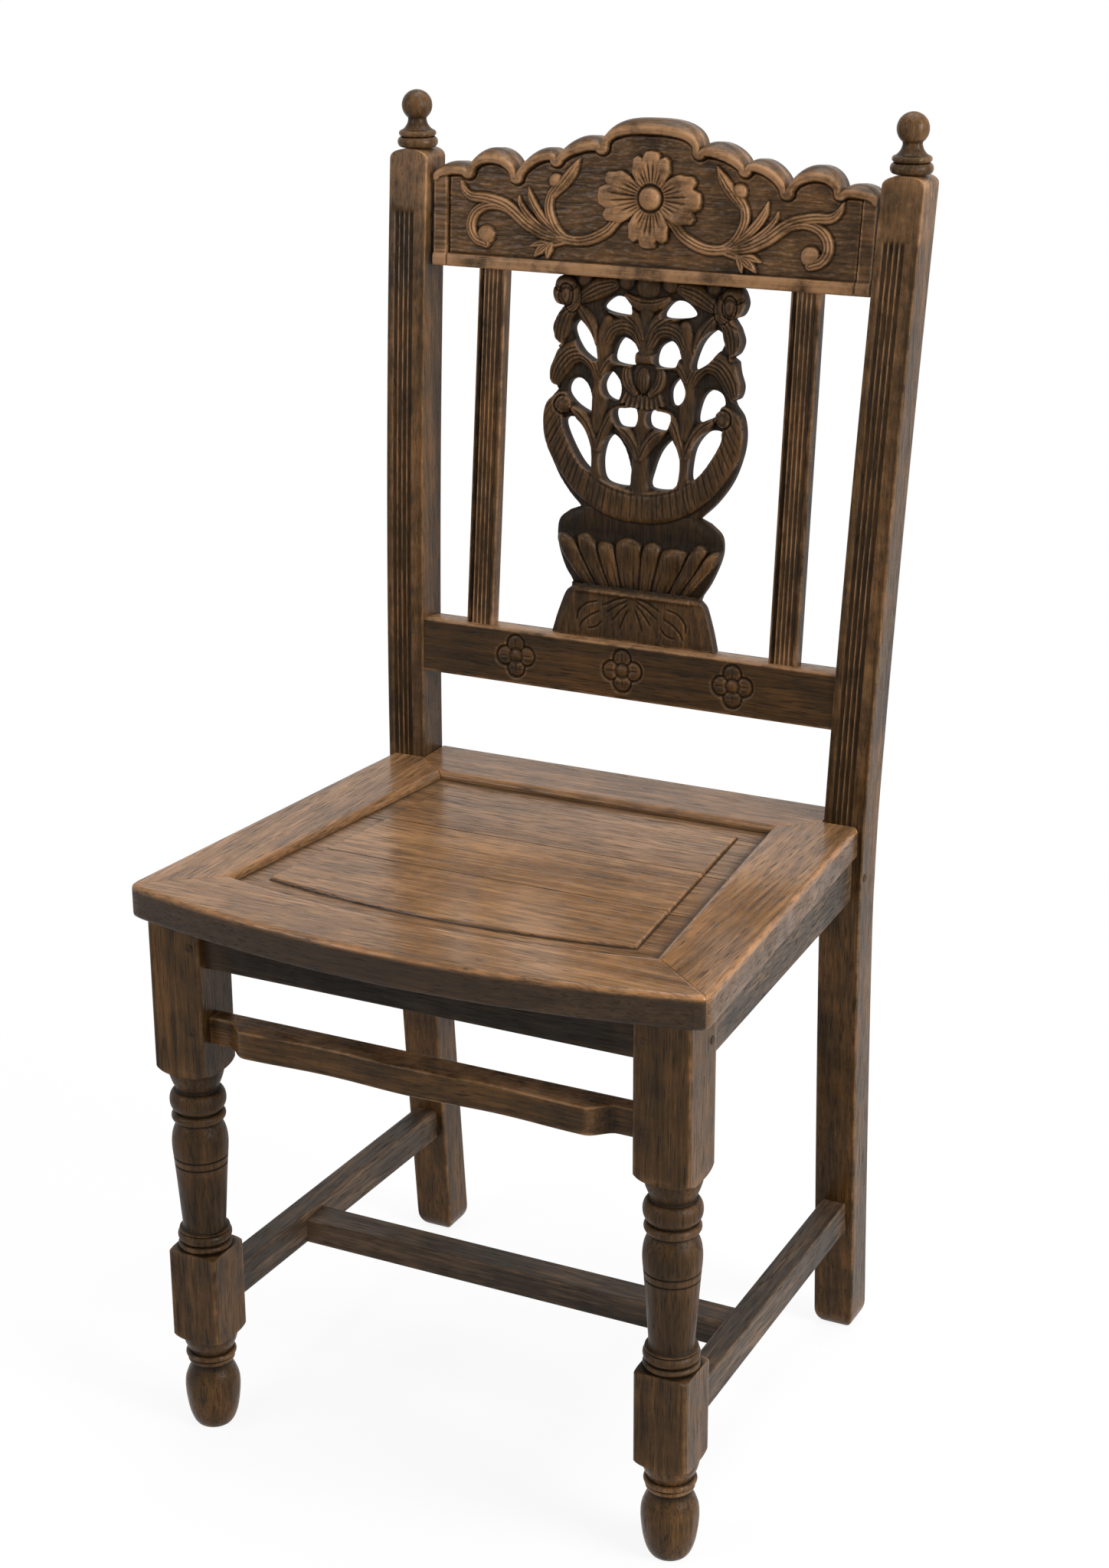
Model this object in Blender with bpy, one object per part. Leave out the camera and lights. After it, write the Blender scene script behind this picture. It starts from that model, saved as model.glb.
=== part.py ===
"""A joined oak side chair: turned front legs, raked back posts with ball finials, a scalloped crest rail,
a pierced splat between two slats, a panelled seat and an H stretcher.

Metres, +Z up, the front of the chair towards -Y, the origin on the floor under the middle of the chair.
Distances named "back" are measured backwards from the foremost point of the seat.
"""

import math

import bmesh
import bpy
from mathutils import Vector

# Joints
CLEARANCE = 0.0003
TENON_OVERLAP = 0.008
CUT_ROOM = 0.1
FAR = 1.0
TINY = 1e-6
PEG_RADIUS = 0.0034
PEG_PROUD = 0.0006
PEG_SIDES = 12
SMOOTH_ANGLE = 40

# Seat
SEAT_HEIGHT = 0.460
SEAT_THICKNESS = 0.026
SEAT_FRONT_HALF_WIDTH = 0.2335
SEAT_BACK_HALF_WIDTH = 0.2075
SEAT_FRONT_BOW = 0.030
SEAT_CORNER_RADIUS = 0.009
SEAT_BEHIND_POSTS = 0.0025
FRAME_FRONT_WIDTH = 0.0435
FRAME_SIDE_WIDTH_FRONT = 0.0535
FRAME_SIDE_WIDTH_BACK = 0.0555
FRAME_BACK_WIDTH = 0.0585
OPENING_BOW = 0.021
MOULDING_RUN = 0.006
MOULDING_DROP = 0.004
MOULDING_OVERCUT = 0.0015
PANEL_SINK = 0.0055
PANEL_THICKNESS = 0.008
PANEL_TONGUE = 0.007
PANEL_BORDER = 0.021
FIELD_RISE = 0.0035
PANEL_FRONT_BOARD = 0.090
PANEL_BACK_BOARD = 0.112
MITRE_GAP = 0.75
KEY_THICKNESS = 0.004
KEY_REACH = 0.012
KEY_LENGTH_FRONT = 0.030
KEY_LENGTH_BACK = 0.018
CURVE_STEPS = 16
CORNER_STEPS = 5

# Back posts, which are also the rear legs
POST_WIDTH = 0.034
POST_DEPTH = 0.032
POST_BEYOND_SEAT = 0.0048
POST_FRONT_BACK = 0.376
POST_SPLAY_ABOVE = 0.026
POST_SPLAY_BELOW = 0.009
POST_ABOVE_CREST_BOTTOM = 0.0915
KNEE_BELOW_SEAT = 0.075
FOOT_RAKE = 0.0257
FOOT_CURVE = 1.22
BACK_RAKE = 0.0497
BACK_CURVE = 1.5
POST_ARCH = 0.008
POST_ARCH_SHOULDER = 0.0045
POST_FOOT_CHAMFER = 0.003
POST_STATIONS = 8
POST_ARCH_STEPS = 3

# Finials
FINIAL_BALL_RADIUS = 0.0122
FINIAL_NECK_RADIUS = 0.0075
FINIAL_NECK_HEIGHT = 0.0230
FINIAL_RING_RADIUS = 0.0150
FINIAL_RING_SIDE_RADIUS = 0.0128
FINIAL_RING_HEIGHT = 0.0052
FINIAL_BASE_RADIUS = 0.0162
FINIAL_BASE_SIDE_RADIUS = 0.0130
FINIAL_BASE_HEIGHT = 0.0082
FINIAL_DOWEL_RADIUS = 0.005
FINIAL_DOWEL_LENGTH = 0.022
FINIAL_SIDES = 20
FINIAL_BALL_STEPS = 8

# Crest rail
CREST_BOTTOM_ABOVE_SEAT = 0.3995
CREST_THICKNESS = 0.0235
CREST_SETBACK = 0.006
CREST_TENON_LOW = 0.010
CREST_TENON_BELOW_DOWEL = 0.0115
CREST_TENON_LENGTH = 0.018
CREST_RIM_WIDTH = 0.010
CREST_FILLET_HEIGHT = 0.010
CREST_END_STRIP = 0.012
CREST_FIELD_SINK = 0.005
CREST_ROUND_DEPTH = 0.013
# Each scallop from the middle outwards: width, height of its outer cusp,
# swell above the chord in front, swell behind
CREST_SCALLOPS = (
    (0.0410, 0.098, 0.0170, 0.0245),
    (0.0385, 0.087, 0.0062, 0.0135),
    (0.0345, 0.072, 0.0095, 0.0150),
    (0.0430, 0.074, 0.0140, 0.0210),
)
CREST_END_HEIGHT = 0.071
CREST_END_SWELL = (0.0040, 0.0095)
CREST_MIDDLE_SQUARENESS = 2.6
SCALLOP_STEPS = 8

# Lower back rail, slats and splat
RAIL_BOTTOM_ABOVE_SEAT = 0.0705
RAIL_HEIGHT = 0.044
RAIL_THICKNESS = 0.026
RAIL_SETBACK = 0.002
RAIL_TENON_LENGTH = 0.018
RAIL_TENON_SHOULDER = 0.0065
BACK_TENON_THICKNESS = 0.008
SLAT_WIDTH = 0.024
SLAT_THICKNESS = 0.011
SLAT_SPACING = 0.267
SLAT_FROM_REAR = 0.0075
SPLAT_THICKNESS = 0.015
SPLAT_WIDTH = 0.172
UPRIGHT_TENON = 0.010
SLAT_TENON_THICKNESS = 0.006
SLAT_TENON_SHOULDER = 0.003
SPLAT_TENON_WIDTH = 0.090
# The splat's right half, as shares of its half width and of its height
SPLAT_EDGE = (
    # plinth
    (0.82, 0.000), (0.76, 0.050), (0.69, 0.105), (0.65, 0.138),
    # bowl
    (0.66, 0.150), (0.74, 0.190), (0.82, 0.250), (0.84, 0.290), (0.81, 0.325), (0.70, 0.352),
    # basket
    (0.60, 0.364), (0.76, 0.412), (0.90, 0.475), (0.98, 0.545), (1.00, 0.600), (0.97, 0.650), (0.89, 0.682),
    # leaves
    (0.87, 0.694), (0.93, 0.705), (0.95, 0.735), (0.91, 0.770), (0.89, 0.800),
    (0.84, 0.810), (0.90, 0.825), (0.93, 0.855), (0.89, 0.890),
    # buds
    (0.83, 0.914), (0.91, 0.925), (0.95, 0.955), (0.92, 0.985), (0.88, 1.000),
)
# The openings of its right half, in the same shares
SPLAT_GAPS = (
    ((0.49, 0.470), (0.60, 0.483), (0.73, 0.538), (0.81, 0.592), (0.75, 0.610), (0.62, 0.600), (0.51, 0.550)),
    ((0.10, 0.436), (0.35, 0.441), (0.41, 0.490), (0.38, 0.548), (0.29, 0.572), (0.18, 0.540), (0.11, 0.485)),
    ((0.06, 0.603), (0.25, 0.598), (0.29, 0.643), (0.06, 0.646)),
    ((0.53, 0.630), (0.68, 0.643), (0.79, 0.677), (0.76, 0.710), (0.65, 0.718), (0.56, 0.690)),
    ((0.27, 0.668), (0.39, 0.676), (0.43, 0.710), (0.35, 0.745), (0.25, 0.712)),
    ((0.10, 0.770), (0.32, 0.773), (0.32, 0.812), (0.24, 0.840), (0.11, 0.818)),
    ((0.47, 0.770), (0.65, 0.793), (0.76, 0.852), (0.67, 0.880), (0.53, 0.840)),
    ((0.14, 0.905), (0.33, 0.903), (0.47, 0.917), (0.36, 0.948), (0.22, 0.944)),
)
SPLAT_GAP_STEPS = 2

# Rails under the seat
APRON_HEIGHT = 0.036
APRON_THICKNESS = 0.018
APRON_FRONT_RECESS = 0.009
APRON_SIDE_INSET = 0.0002
APRON_SIDE_OVERHANG_BACK = 0.004
APRON_BACK_INSET = 0.001
APRON_TENON_THICKNESS = 0.008
APRON_TENON_SHOULDER = 0.004
APRON_TENON_LENGTH = 0.020
APRON_SIDE_TENON_FRONT = 0.016
APRON_SIDE_TENON_BACK = 0.0135
GLUE_BLOCK_SIZE = 0.014
GLUE_BLOCK_LENGTH = 0.050
GLUE_BLOCK_SPACING = 0.150
GLUE_BLOCK_GAP = 0.00033

# Front legs
LEG_SIZE = 0.044
LEG_SIDE_INSET = 0.0131
LEG_FRONT_BACK = 0.033
LEG_FOOT_HEIGHT = 0.080
LEG_SHOULDER = 0.015
LEG_SHOULDER_SHORT = 0.009
LEG_LOWER_BLOCK = 0.053
LEG_LOWER_BLOCK_SIZE = 0.042
LEG_UPPER_BLOCK = 0.110
TURNING_RELIEF = 0.0004
LEG_SIDES = 24
LEG_FOOT_NECK = 0.69
SHOULDER_STEPS = 4
TAPER_STEPS = 5
NECK_STEPS = 3
# The turned foot: share of its height, cut below the full round
LEG_FOOT_TURNING = (
    (0.00, 0.0091),
    (0.05, 0.0068),
    (0.12, 0.0046),
    (0.22, 0.0022),
    (0.33, 0.0006),
    (0.44, 0.0000),
    (0.53, 0.0010),
    (0.61, 0.0034),
    (0.69, 0.0050),
    (0.73, 0.0044),
    (0.75, 0.0028),
    (0.84, 0.0014),
    (0.96, 0.0008),
)
# Rings above the lower block and below the upper block: start, end, cut at the sides, cut at the crown
LEG_LOWER_RINGS = ((0.0003, 0.0058, 0.0030, 0.0008), (0.0066, 0.0156, 0.0030, 0.0008))
LEG_UPPER_RINGS = ((0.0430, 0.0340, 0.0030, 0.0010), (0.0325, 0.0160, 0.0030, 0.0002))
LEG_COLLAR = ((0.0140, 0.0028), (0.0100, 0.0022), (0.0020, 0.0000))
LEG_WAIST_RISE = 0.0190
LEG_WAIST_CUT = 0.0048
LEG_SWELL_DROP = 0.0625
LEG_NECK_DROP = 0.0450
LEG_NECK_CUT = 0.0030
LEG_TAPER_CURVE = 1.2

# Stretchers
FRONT_STRETCHER_BELOW_SEAT = 0.102
FRONT_STRETCHER_HEIGHT = 0.022
FRONT_STRETCHER_BACK = 0.0255
FRONT_STRETCHER_END_DEPTH = 0.0145
FRONT_STRETCHER_BELLY = 0.0125
FRONT_STRETCHER_END_LENGTH = 0.016
FRONT_STRETCHER_LOBE = 0.036
FRONT_STRETCHER_HOLLOW = 0.003
HOLLOW_STEPS = 8
LOBE_STEPS = 5
SIDE_STRETCHER_TOP = 0.124
SIDE_STRETCHER_HEIGHT = 0.0265
SIDE_STRETCHER_WIDTH = 0.020
CROSS_STRETCHER_DROP = 0.0055
CROSS_STRETCHER_HEIGHT = 0.021
CROSS_STRETCHER_WIDTH = 0.027
CROSS_STRETCHER_BACK = 0.1955
STRETCHER_TENON_THICKNESS = 0.009
STRETCHER_TENON_SHOULDER = 0.004
STRETCHER_TENON_LENGTH = 0.022
CROSS_TENON_LENGTH = 0.011

# Pegs: distance from the shoulder, drop of the leg's side pegs, lengths
PEG_FROM_SHOULDER = 0.008
PEG_SIDE_DROP = 0.006
PEG_LONG = 0.030
PEG_MIDDLE = 0.024
PEG_SHORT = 0.016

# Colours: linear RGB and roughness
OAK_DARK = (0.046, 0.029, 0.020)
OAK_SEAT = (0.105, 0.064, 0.040)
OAK_PALE = (0.075, 0.055, 0.042)
OAK_PEG = (0.022, 0.014, 0.010)
ROUGH_WORN = 0.45
ROUGH_WAXED = 0.34

# Heights and places worked out from the dimensions above
SEAT_BOTTOM = SEAT_HEIGHT - SEAT_THICKNESS
KNEE_HEIGHT = SEAT_HEIGHT - KNEE_BELOW_SEAT
POST_HALF_SPREAD = SEAT_BACK_HALF_WIDTH + POST_BEYOND_SEAT - POST_WIDTH / 2
CREST_BOTTOM = SEAT_HEIGHT + CREST_BOTTOM_ABOVE_SEAT
POST_TOP = CREST_BOTTOM + POST_ABOVE_CREST_BOTTOM
CREST_TENON_TOP = POST_ABOVE_CREST_BOTTOM - FINIAL_DOWEL_LENGTH - CREST_TENON_BELOW_DOWEL
CREST_TENON_HEIGHT = CREST_TENON_TOP - CREST_TENON_LOW
RAIL_BOTTOM = SEAT_HEIGHT + RAIL_BOTTOM_ABOVE_SEAT
RAIL_TOP = RAIL_BOTTOM + RAIL_HEIGHT
APRON_BOTTOM = SEAT_BOTTOM - APRON_HEIGHT
LEG_TOP = SEAT_BOTTOM - CLEARANCE
LEG_OUTER = SEAT_FRONT_HALF_WIDTH - LEG_SIDE_INSET
LEG_HALF_SPREAD = LEG_OUTER - LEG_SIZE / 2
LEG_INNER = LEG_OUTER - LEG_SIZE
FRONT_STRETCHER_TOP = SEAT_HEIGHT - FRONT_STRETCHER_BELOW_SEAT
UP = Vector((0, 0, 1))


def post_curve(z):
    """How far the front of a post lies behind its knee at height z."""
    if z < KNEE_HEIGHT:
        return FOOT_RAKE * ((KNEE_HEIGHT - z) / KNEE_HEIGHT) ** FOOT_CURVE
    rise = POST_TOP - KNEE_HEIGHT
    return BACK_RAKE * ((z - KNEE_HEIGHT) / rise) ** BACK_CURVE


OVERALL_DEPTH = POST_FRONT_BACK + BACK_RAKE + POST_DEPTH


def back(distance):
    """Y of a point this far behind the foremost point of the seat."""
    return distance - OVERALL_DEPTH / 2


def post_front(z):
    return back(POST_FRONT_BACK + post_curve(z))


def post_centre(z):
    """X of the middle of the right post at height z."""
    slope = POST_SPLAY_ABOVE if z > SEAT_HEIGHT else POST_SPLAY_BELOW
    return POST_HALF_SPREAD + slope * (z - SEAT_HEIGHT)


def post_inner(z):
    return post_centre(z) - POST_WIDTH / 2


def post_outer(z):
    return post_centre(z) + POST_WIDTH / 2


LEG_FRONT = back(LEG_FRONT_BACK)
LEG_BACK = LEG_FRONT + LEG_SIZE
LEG_MIDDLE = LEG_FRONT + LEG_SIZE / 2


# Making meshes


def clear_scene():
    for obj in list(bpy.data.objects):
        bpy.data.objects.remove(obj, do_unlink=True)


def finish(obj, colour, roughness):
    material = bpy.data.materials.new(obj.name + "_oak")
    material.use_nodes = True
    shader = material.node_tree.nodes["Principled BSDF"]
    shader.inputs["Base Color"].default_value = (*colour, 1)
    shader.inputs["Roughness"].default_value = roughness
    shader.inputs["Metallic"].default_value = 0
    material.diffuse_color = (*colour, 1)
    obj.data.materials.append(material)


def add_object(name, bm, parent=None, cutter=False, smooth=False):
    bmesh.ops.recalc_face_normals(bm, faces=bm.faces)
    mesh = bpy.data.meshes.new(name)
    bm.to_mesh(mesh)
    bm.free()
    if smooth:
        mesh.shade_smooth()
        mesh.set_sharp_from_angle(angle=math.radians(SMOOTH_ANGLE))
    obj = bpy.data.objects.new(name, mesh)
    bpy.context.scene.collection.objects.link(obj)
    obj.parent = parent
    if cutter:
        obj.hide_render = True
        obj.display_type = "WIRE"
    return obj


def extruded(name, outline, offset, parent=None, cutter=False):
    """A flat outline, as 3-D points, drawn out along offset."""
    bm = bmesh.new()
    face = bm.faces.new([bm.verts.new(point) for point in outline])
    drawn = bmesh.ops.extrude_face_region(bm, geom=[face])
    moved = [item for item in drawn["geom"] if isinstance(item, bmesh.types.BMVert)]
    bmesh.ops.translate(bm, verts=moved, vec=offset)
    return add_object(name, bm, parent, cutter)


def plan_prism(name, outline, low, high, cutter=False):
    """An outline in plan, standing from low to high."""
    points = [(x, y, low) for x, y in outline]
    return extruded(name, points, (0, 0, high - low), cutter=cutter)


def back_board(name, outline, rear, thickness, parent, cutter=False):
    """A board of the back, its rear face this far in front of the plane of the back's rear faces."""
    points = [(x, -rear - thickness, s) for x, s in outline]
    return extruded(name, points, (0, thickness, 0), parent, cutter)


def box(name, low, high, parent=None, cutter=False):
    corners = [(low[0], low[1]), (high[0], low[1]), (high[0], high[1]), (low[0], high[1])]
    points = [(x, y, low[2]) for x, y in corners]
    return extruded(name, points, (0, 0, high[2] - low[2]), parent, cutter)


def lofted(name, rings, parent=None, cutter=False):
    """Rings of points, one above the other, joined side by side and capped."""
    bm = bmesh.new()
    loops = [[bm.verts.new(point) for point in ring] for ring in rings]
    count = len(rings[0])
    for low, high in zip(loops, loops[1:]):
        for i in range(count):
            j = (i + 1) % count
            bm.faces.new((low[i], low[j], high[j], high[i]))
    bm.faces.new(loops[0])
    bm.faces.new(loops[-1])
    return add_object(name, bm, parent, cutter)


def turned(name, profile, sides, centre, cutter=False):
    """A profile of (height, radius) points, from the bottom up, spun about a vertical axis."""
    bm = bmesh.new()
    points = [(profile[0][0], 0), *profile]
    if profile[-1][1]:
        points.append((profile[-1][0], 0))
    verts = [bm.verts.new((radius, 0, height)) for height, radius in points]
    edges = [bm.edges.new(pair) for pair in zip(verts, verts[1:])]
    bmesh.ops.spin(
        bm,
        geom=verts + edges,
        cent=(0, 0, 0),
        axis=(0, 0, 1),
        angle=2 * math.pi,
        steps=sides,
        use_merge=True,
    )
    bmesh.ops.remove_doubles(bm, verts=bm.verts, dist=TINY)
    bmesh.ops.translate(bm, verts=bm.verts, vec=centre)
    return add_object(name, bm, cutter=cutter, smooth=not cutter)


def cylinder(name, start, along, radius, length, cutter=False):
    """A round rod of PEG_SIDES sides from start along a direction."""
    bm = bmesh.new()
    turn = UP.rotation_difference(along).to_matrix().to_4x4()
    turn.translation = start + along * (length / 2)
    bmesh.ops.create_cone(
        bm,
        cap_ends=True,
        segments=PEG_SIDES,
        radius1=radius,
        radius2=radius,
        depth=length,
        matrix=turn,
    )
    return add_object(name, bm, cutter=cutter, smooth=not cutter)


def boolean(obj, other, operation):
    modifier = obj.modifiers.new(operation.lower() + "_" + other.name, "BOOLEAN")
    modifier.operation = operation
    modifier.solver = "EXACT"
    modifier.object = other


def cut(obj, other):
    boolean(obj, other, "DIFFERENCE")


def join(obj, other):
    boolean(obj, other, "UNION")


def keep(obj, other):
    boolean(obj, other, "INTERSECT")


# Straight rails with tenons


class Face:
    """A flat face that a rail is shouldered against, with its normal towards the rail."""

    def __init__(self, point, normal):
        self.point = Vector(point)
        self.normal = Vector(normal).normalized()

    def moved(self, distance):
        return Face(self.point + self.normal * distance, self.normal)

    def meets(self, start, along):
        return start + along * (self.normal.dot(self.point - start) / self.normal.dot(along))


class Line:
    """The level centre line of a rail."""

    def __init__(self, start, end):
        self.start = Vector(start)
        self.along = (Vector(end) - self.start).normalized()
        self.across = self.along.cross(UP)


def bar(name, line, width, height, first, last, cutter=False):
    """A rail along a line, its ends lying in two faces."""
    rings = []
    for face in (first, last):
        ring = []
        for side, rise in ((-1, -1), (1, -1), (1, 1), (-1, 1)):
            start = line.start + line.across * (side * width / 2) + UP * (rise * height / 2)
            ring.append(face.meets(start, line.along))
        rings.append(ring)
    return lofted(name, rings, cutter=cutter)


def tenoned_rail(name, line, width, height, ends, thickness, shoulder):
    """A rail between two pieces. Each end is (piece to enter, its face, tenon length)."""
    (_, first, _), (_, last, _) = ends
    rail = bar(name, line, width, height, first.moved(CLEARANCE), last.moved(CLEARANCE))
    for number, (piece, face, length) in enumerate(ends):
        root = face.moved(TENON_OVERLAP)
        size = (thickness, height - 2 * shoulder)
        tenon = bar(f"{name}_tenon_{number}", line, *size, root, face.moved(-length), cutter=True)
        join(rail, tenon)
        room = (thickness + 2 * CLEARANCE, height - 2 * shoulder + 2 * CLEARANCE)
        deep = face.moved(-length - CLEARANCE)
        cut(piece, bar(f"{name}_mortise_{number}", line, *room, root, deep, cutter=True))
    return rail


def peg(name, start, along, length, pieces):
    """A peg driven from a point on a face, through every piece named."""
    along = Vector(along).normalized()
    start = Vector(start) - along * PEG_PROUD
    hole = cylinder(name + "_hole", start, along, PEG_RADIUS + CLEARANCE, length + CLEARANCE, cutter=True)
    for piece in pieces:
        cut(piece, hole)
    finish(cylinder(name, start, along, PEG_RADIUS, length), OAK_PEG, ROUGH_WORN)


# Outlines


def ellipse_swell(start, end, swell, steps, power=2.0):
    """Points from start to end, bowed out above the chord like half an ellipse. The end is left out."""
    points = []
    for i in range(steps):
        turn = math.pi * i / steps
        share = (1 - math.cos(turn)) / 2
        rise = swell * math.sin(turn) ** (2 / power)
        across = start[0] + (end[0] - start[0]) * share
        points.append((across, start[1] + (end[1] - start[1]) * share + rise))
    return points


def mirrored(half):
    """A closed outline from its right half, listed from the bottom of the middle line to its top."""
    return half + [(-x, s) for x, s in reversed(half) if abs(x) > TINY]


def smoothed(points, steps):
    """A closed round curve through hand-placed points."""
    count = len(points)
    curve = []
    for i in range(count):
        p, q, r, t = (Vector(points[(i + k) % count]) for k in (-1, 0, 1, 2))
        for k in range(steps):
            u = k / steps
            square = (2 * p - 5 * q + 4 * r - t) * u**2
            cube = (3 * q - p - 3 * r + t) * u**3
            curve.append(tuple((2 * q + (r - p) * u + square + cube) / 2))
    return curve


def bead(low, high, root, radius, steps=4):
    """A round moulding on a turned piece: (height, radius) points from low to high."""
    points = []
    for i in range(steps + 1):
        turn = math.pi * i / steps
        height = low + (high - low) * (1 - math.cos(turn)) / 2
        points.append((height, root + (radius - root) * math.sin(turn)))
    return points


# Back posts and finials


def make_post(name, side):
    """One back post: a raked and splayed square section, chamfered at the foot and arched at the top."""
    arch_start = POST_TOP - POST_ARCH
    heights = {APRON_BOTTOM, SEAT_BOTTOM, SEAT_HEIGHT, KNEE_HEIGHT, SIDE_STRETCHER_TOP}
    heights.add(SIDE_STRETCHER_TOP - SIDE_STRETCHER_HEIGHT)
    for i in range(POST_STATIONS + 1):
        heights.add(POST_FOOT_CHAMFER + (KNEE_HEIGHT - POST_FOOT_CHAMFER) * i / POST_STATIONS)
        heights.add(SEAT_HEIGHT + (arch_start - SEAT_HEIGHT) * i / POST_STATIONS)
    sections = [(0, POST_FOOT_CHAMFER, POST_FOOT_CHAMFER)] + [(z, 0, 0) for z in sorted(heights)]
    for i in range(1, POST_ARCH_STEPS + 1):
        turn = math.pi / 2 * i / POST_ARCH_STEPS
        inset = POST_ARCH_SHOULDER * (1 - math.cos(turn))
        sections.append((arch_start + POST_ARCH * math.sin(turn), inset, 0))
    rings = []
    for z, trim_x, trim_y in sections:
        x = side * post_centre(z)
        half = POST_WIDTH / 2 - trim_x
        front = post_front(z) + trim_y
        rear = post_front(z) + POST_DEPTH - trim_y
        rings.append([(x - half, front, z), (x + half, front, z), (x + half, rear, z), (x - half, rear, z)])
    post = lofted(name, rings)
    finish(post, OAK_DARK, ROUGH_WORN)
    return post


def make_finial(name, side, post):
    """Ball finial on two rings, with a dowel that stands in the post's top."""
    centre = (side * post_centre(POST_TOP), post_front(POST_TOP) + POST_DEPTH / 2, POST_TOP + CLEARANCE)
    base_top = FINIAL_BASE_HEIGHT
    ring_top = base_top + FINIAL_RING_HEIGHT
    ball = FINIAL_NECK_HEIGHT + math.sqrt(FINIAL_BALL_RADIUS**2 - FINIAL_NECK_RADIUS**2)
    profile = [(-FINIAL_DOWEL_LENGTH, FINIAL_DOWEL_RADIUS), (0, FINIAL_DOWEL_RADIUS)]
    profile += bead(0, base_top, FINIAL_BASE_SIDE_RADIUS, FINIAL_BASE_RADIUS)
    profile += bead(base_top, ring_top, FINIAL_RING_SIDE_RADIUS, FINIAL_RING_RADIUS)
    profile.append(((ring_top + FINIAL_NECK_HEIGHT) / 2, FINIAL_NECK_RADIUS))
    neck_turn = math.asin(FINIAL_NECK_RADIUS / FINIAL_BALL_RADIUS)
    for i in range(FINIAL_BALL_STEPS):
        turn = neck_turn + (math.pi - neck_turn) * i / FINIAL_BALL_STEPS
        profile.append((ball - FINIAL_BALL_RADIUS * math.cos(turn), FINIAL_BALL_RADIUS * math.sin(turn)))
    profile.append((ball + FINIAL_BALL_RADIUS, 0))
    finial = turned(name, profile, FINIAL_SIDES, centre)
    finish(finial, OAK_DARK, ROUGH_WAXED)
    depth = FINIAL_DOWEL_LENGTH + CLEARANCE
    bore = [(-depth, FINIAL_DOWEL_RADIUS + CLEARANCE), (TENON_OVERLAP, FINIAL_DOWEL_RADIUS + CLEARANCE)]
    cut(post, turned(name + "_bore", bore, FINIAL_SIDES, centre, cutter=True))


# The back between the posts


def make_back_frame():
    """An empty at the lower rail's foot, in the sloping plane of the back's rear faces."""
    rail_middle = RAIL_BOTTOM + RAIL_HEIGHT / 2
    crest_middle = CREST_BOTTOM + CREST_TENON_LOW + CREST_TENON_HEIGHT / 2
    low = post_front(rail_middle) + RAIL_SETBACK + RAIL_THICKNESS
    high = post_front(crest_middle) + CREST_SETBACK + CREST_THICKNESS
    tilt = math.atan2(high - low, crest_middle - rail_middle)
    empty = bpy.data.objects.new("back_frame", None)
    bpy.context.scene.collection.objects.link(empty)
    empty.location = (0, low - (rail_middle - RAIL_BOTTOM) * math.tan(tilt), RAIL_BOTTOM)
    empty.rotation_euler = (-tilt, 0, 0)
    return empty


def up_slope(frame, z):
    """Distance up the sloping rear plane of a point at height z."""
    return (z - RAIL_BOTTOM) / math.cos(frame.rotation_euler.x)


def height_at(frame, s):
    return RAIL_BOTTOM + s * math.cos(frame.rotation_euler.x)


def back_tenons(name, rail, posts, frame, middle, low, high, length):
    """Tenons at both ends of a rail of the back, middle in front of the rear plane, and their mortises."""
    shoulder = post_inner(height_at(frame, low))
    for side, post in posts.items():
        for purpose, room in (("tenon", 0), ("mortise", CLEARANCE)):
            xs = sorted((side * (shoulder - TENON_OVERLAP), side * (shoulder + length + room)))
            half = BACK_TENON_THICKNESS / 2 + room
            near = (xs[0], -middle - half, low - room)
            far = (xs[1], -middle + half, high + room)
            shape = box(f"{name}_{purpose}_{side}", near, far, frame, cutter=True)
            if purpose == "tenon":
                join(rail, shape)
            else:
                cut(post, shape)


def crest_top(frame, foot, face):
    """The right half of the crest's scalloped top, from the middle out, at its front (0) or behind (1)."""
    points = []
    start = None
    inner = 0
    for width, cusp, *swells in CREST_SCALLOPS:
        end = (inner + width, cusp)
        if start is None:
            steps = 2 * SCALLOP_STEPS
            whole = ellipse_swell((-width, cusp), end, swells[face], steps, CREST_MIDDLE_SQUARENESS)
            points += whole[SCALLOP_STEPS:]
        else:
            points += ellipse_swell(start, end, swells[face], SCALLOP_STEPS)
        start = end
        inner += width
    end_x = post_inner(height_at(frame, foot + CREST_END_HEIGHT)) - CLEARANCE
    points += ellipse_swell(start, (end_x, CREST_END_HEIGHT), CREST_END_SWELL[face], SCALLOP_STEPS)
    points.append((end_x, CREST_END_HEIGHT))
    return [(x, foot + s) for x, s in points]


def inner_edge(top, depth, limit):
    """The scalloped top moved square to itself down into the crest, as far out as limit."""
    edge = [(0, top[0][1] - depth)]
    for behind, (x, s), ahead in zip(top, top[1:], top[2:]):
        along = (Vector(ahead) - Vector(behind)).normalized()
        moved = (x + along.y * depth, s - along.x * depth)
        if edge[-1][0] + CLEARANCE < moved[0] < limit:
            edge.append(moved)
    return edge


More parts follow.
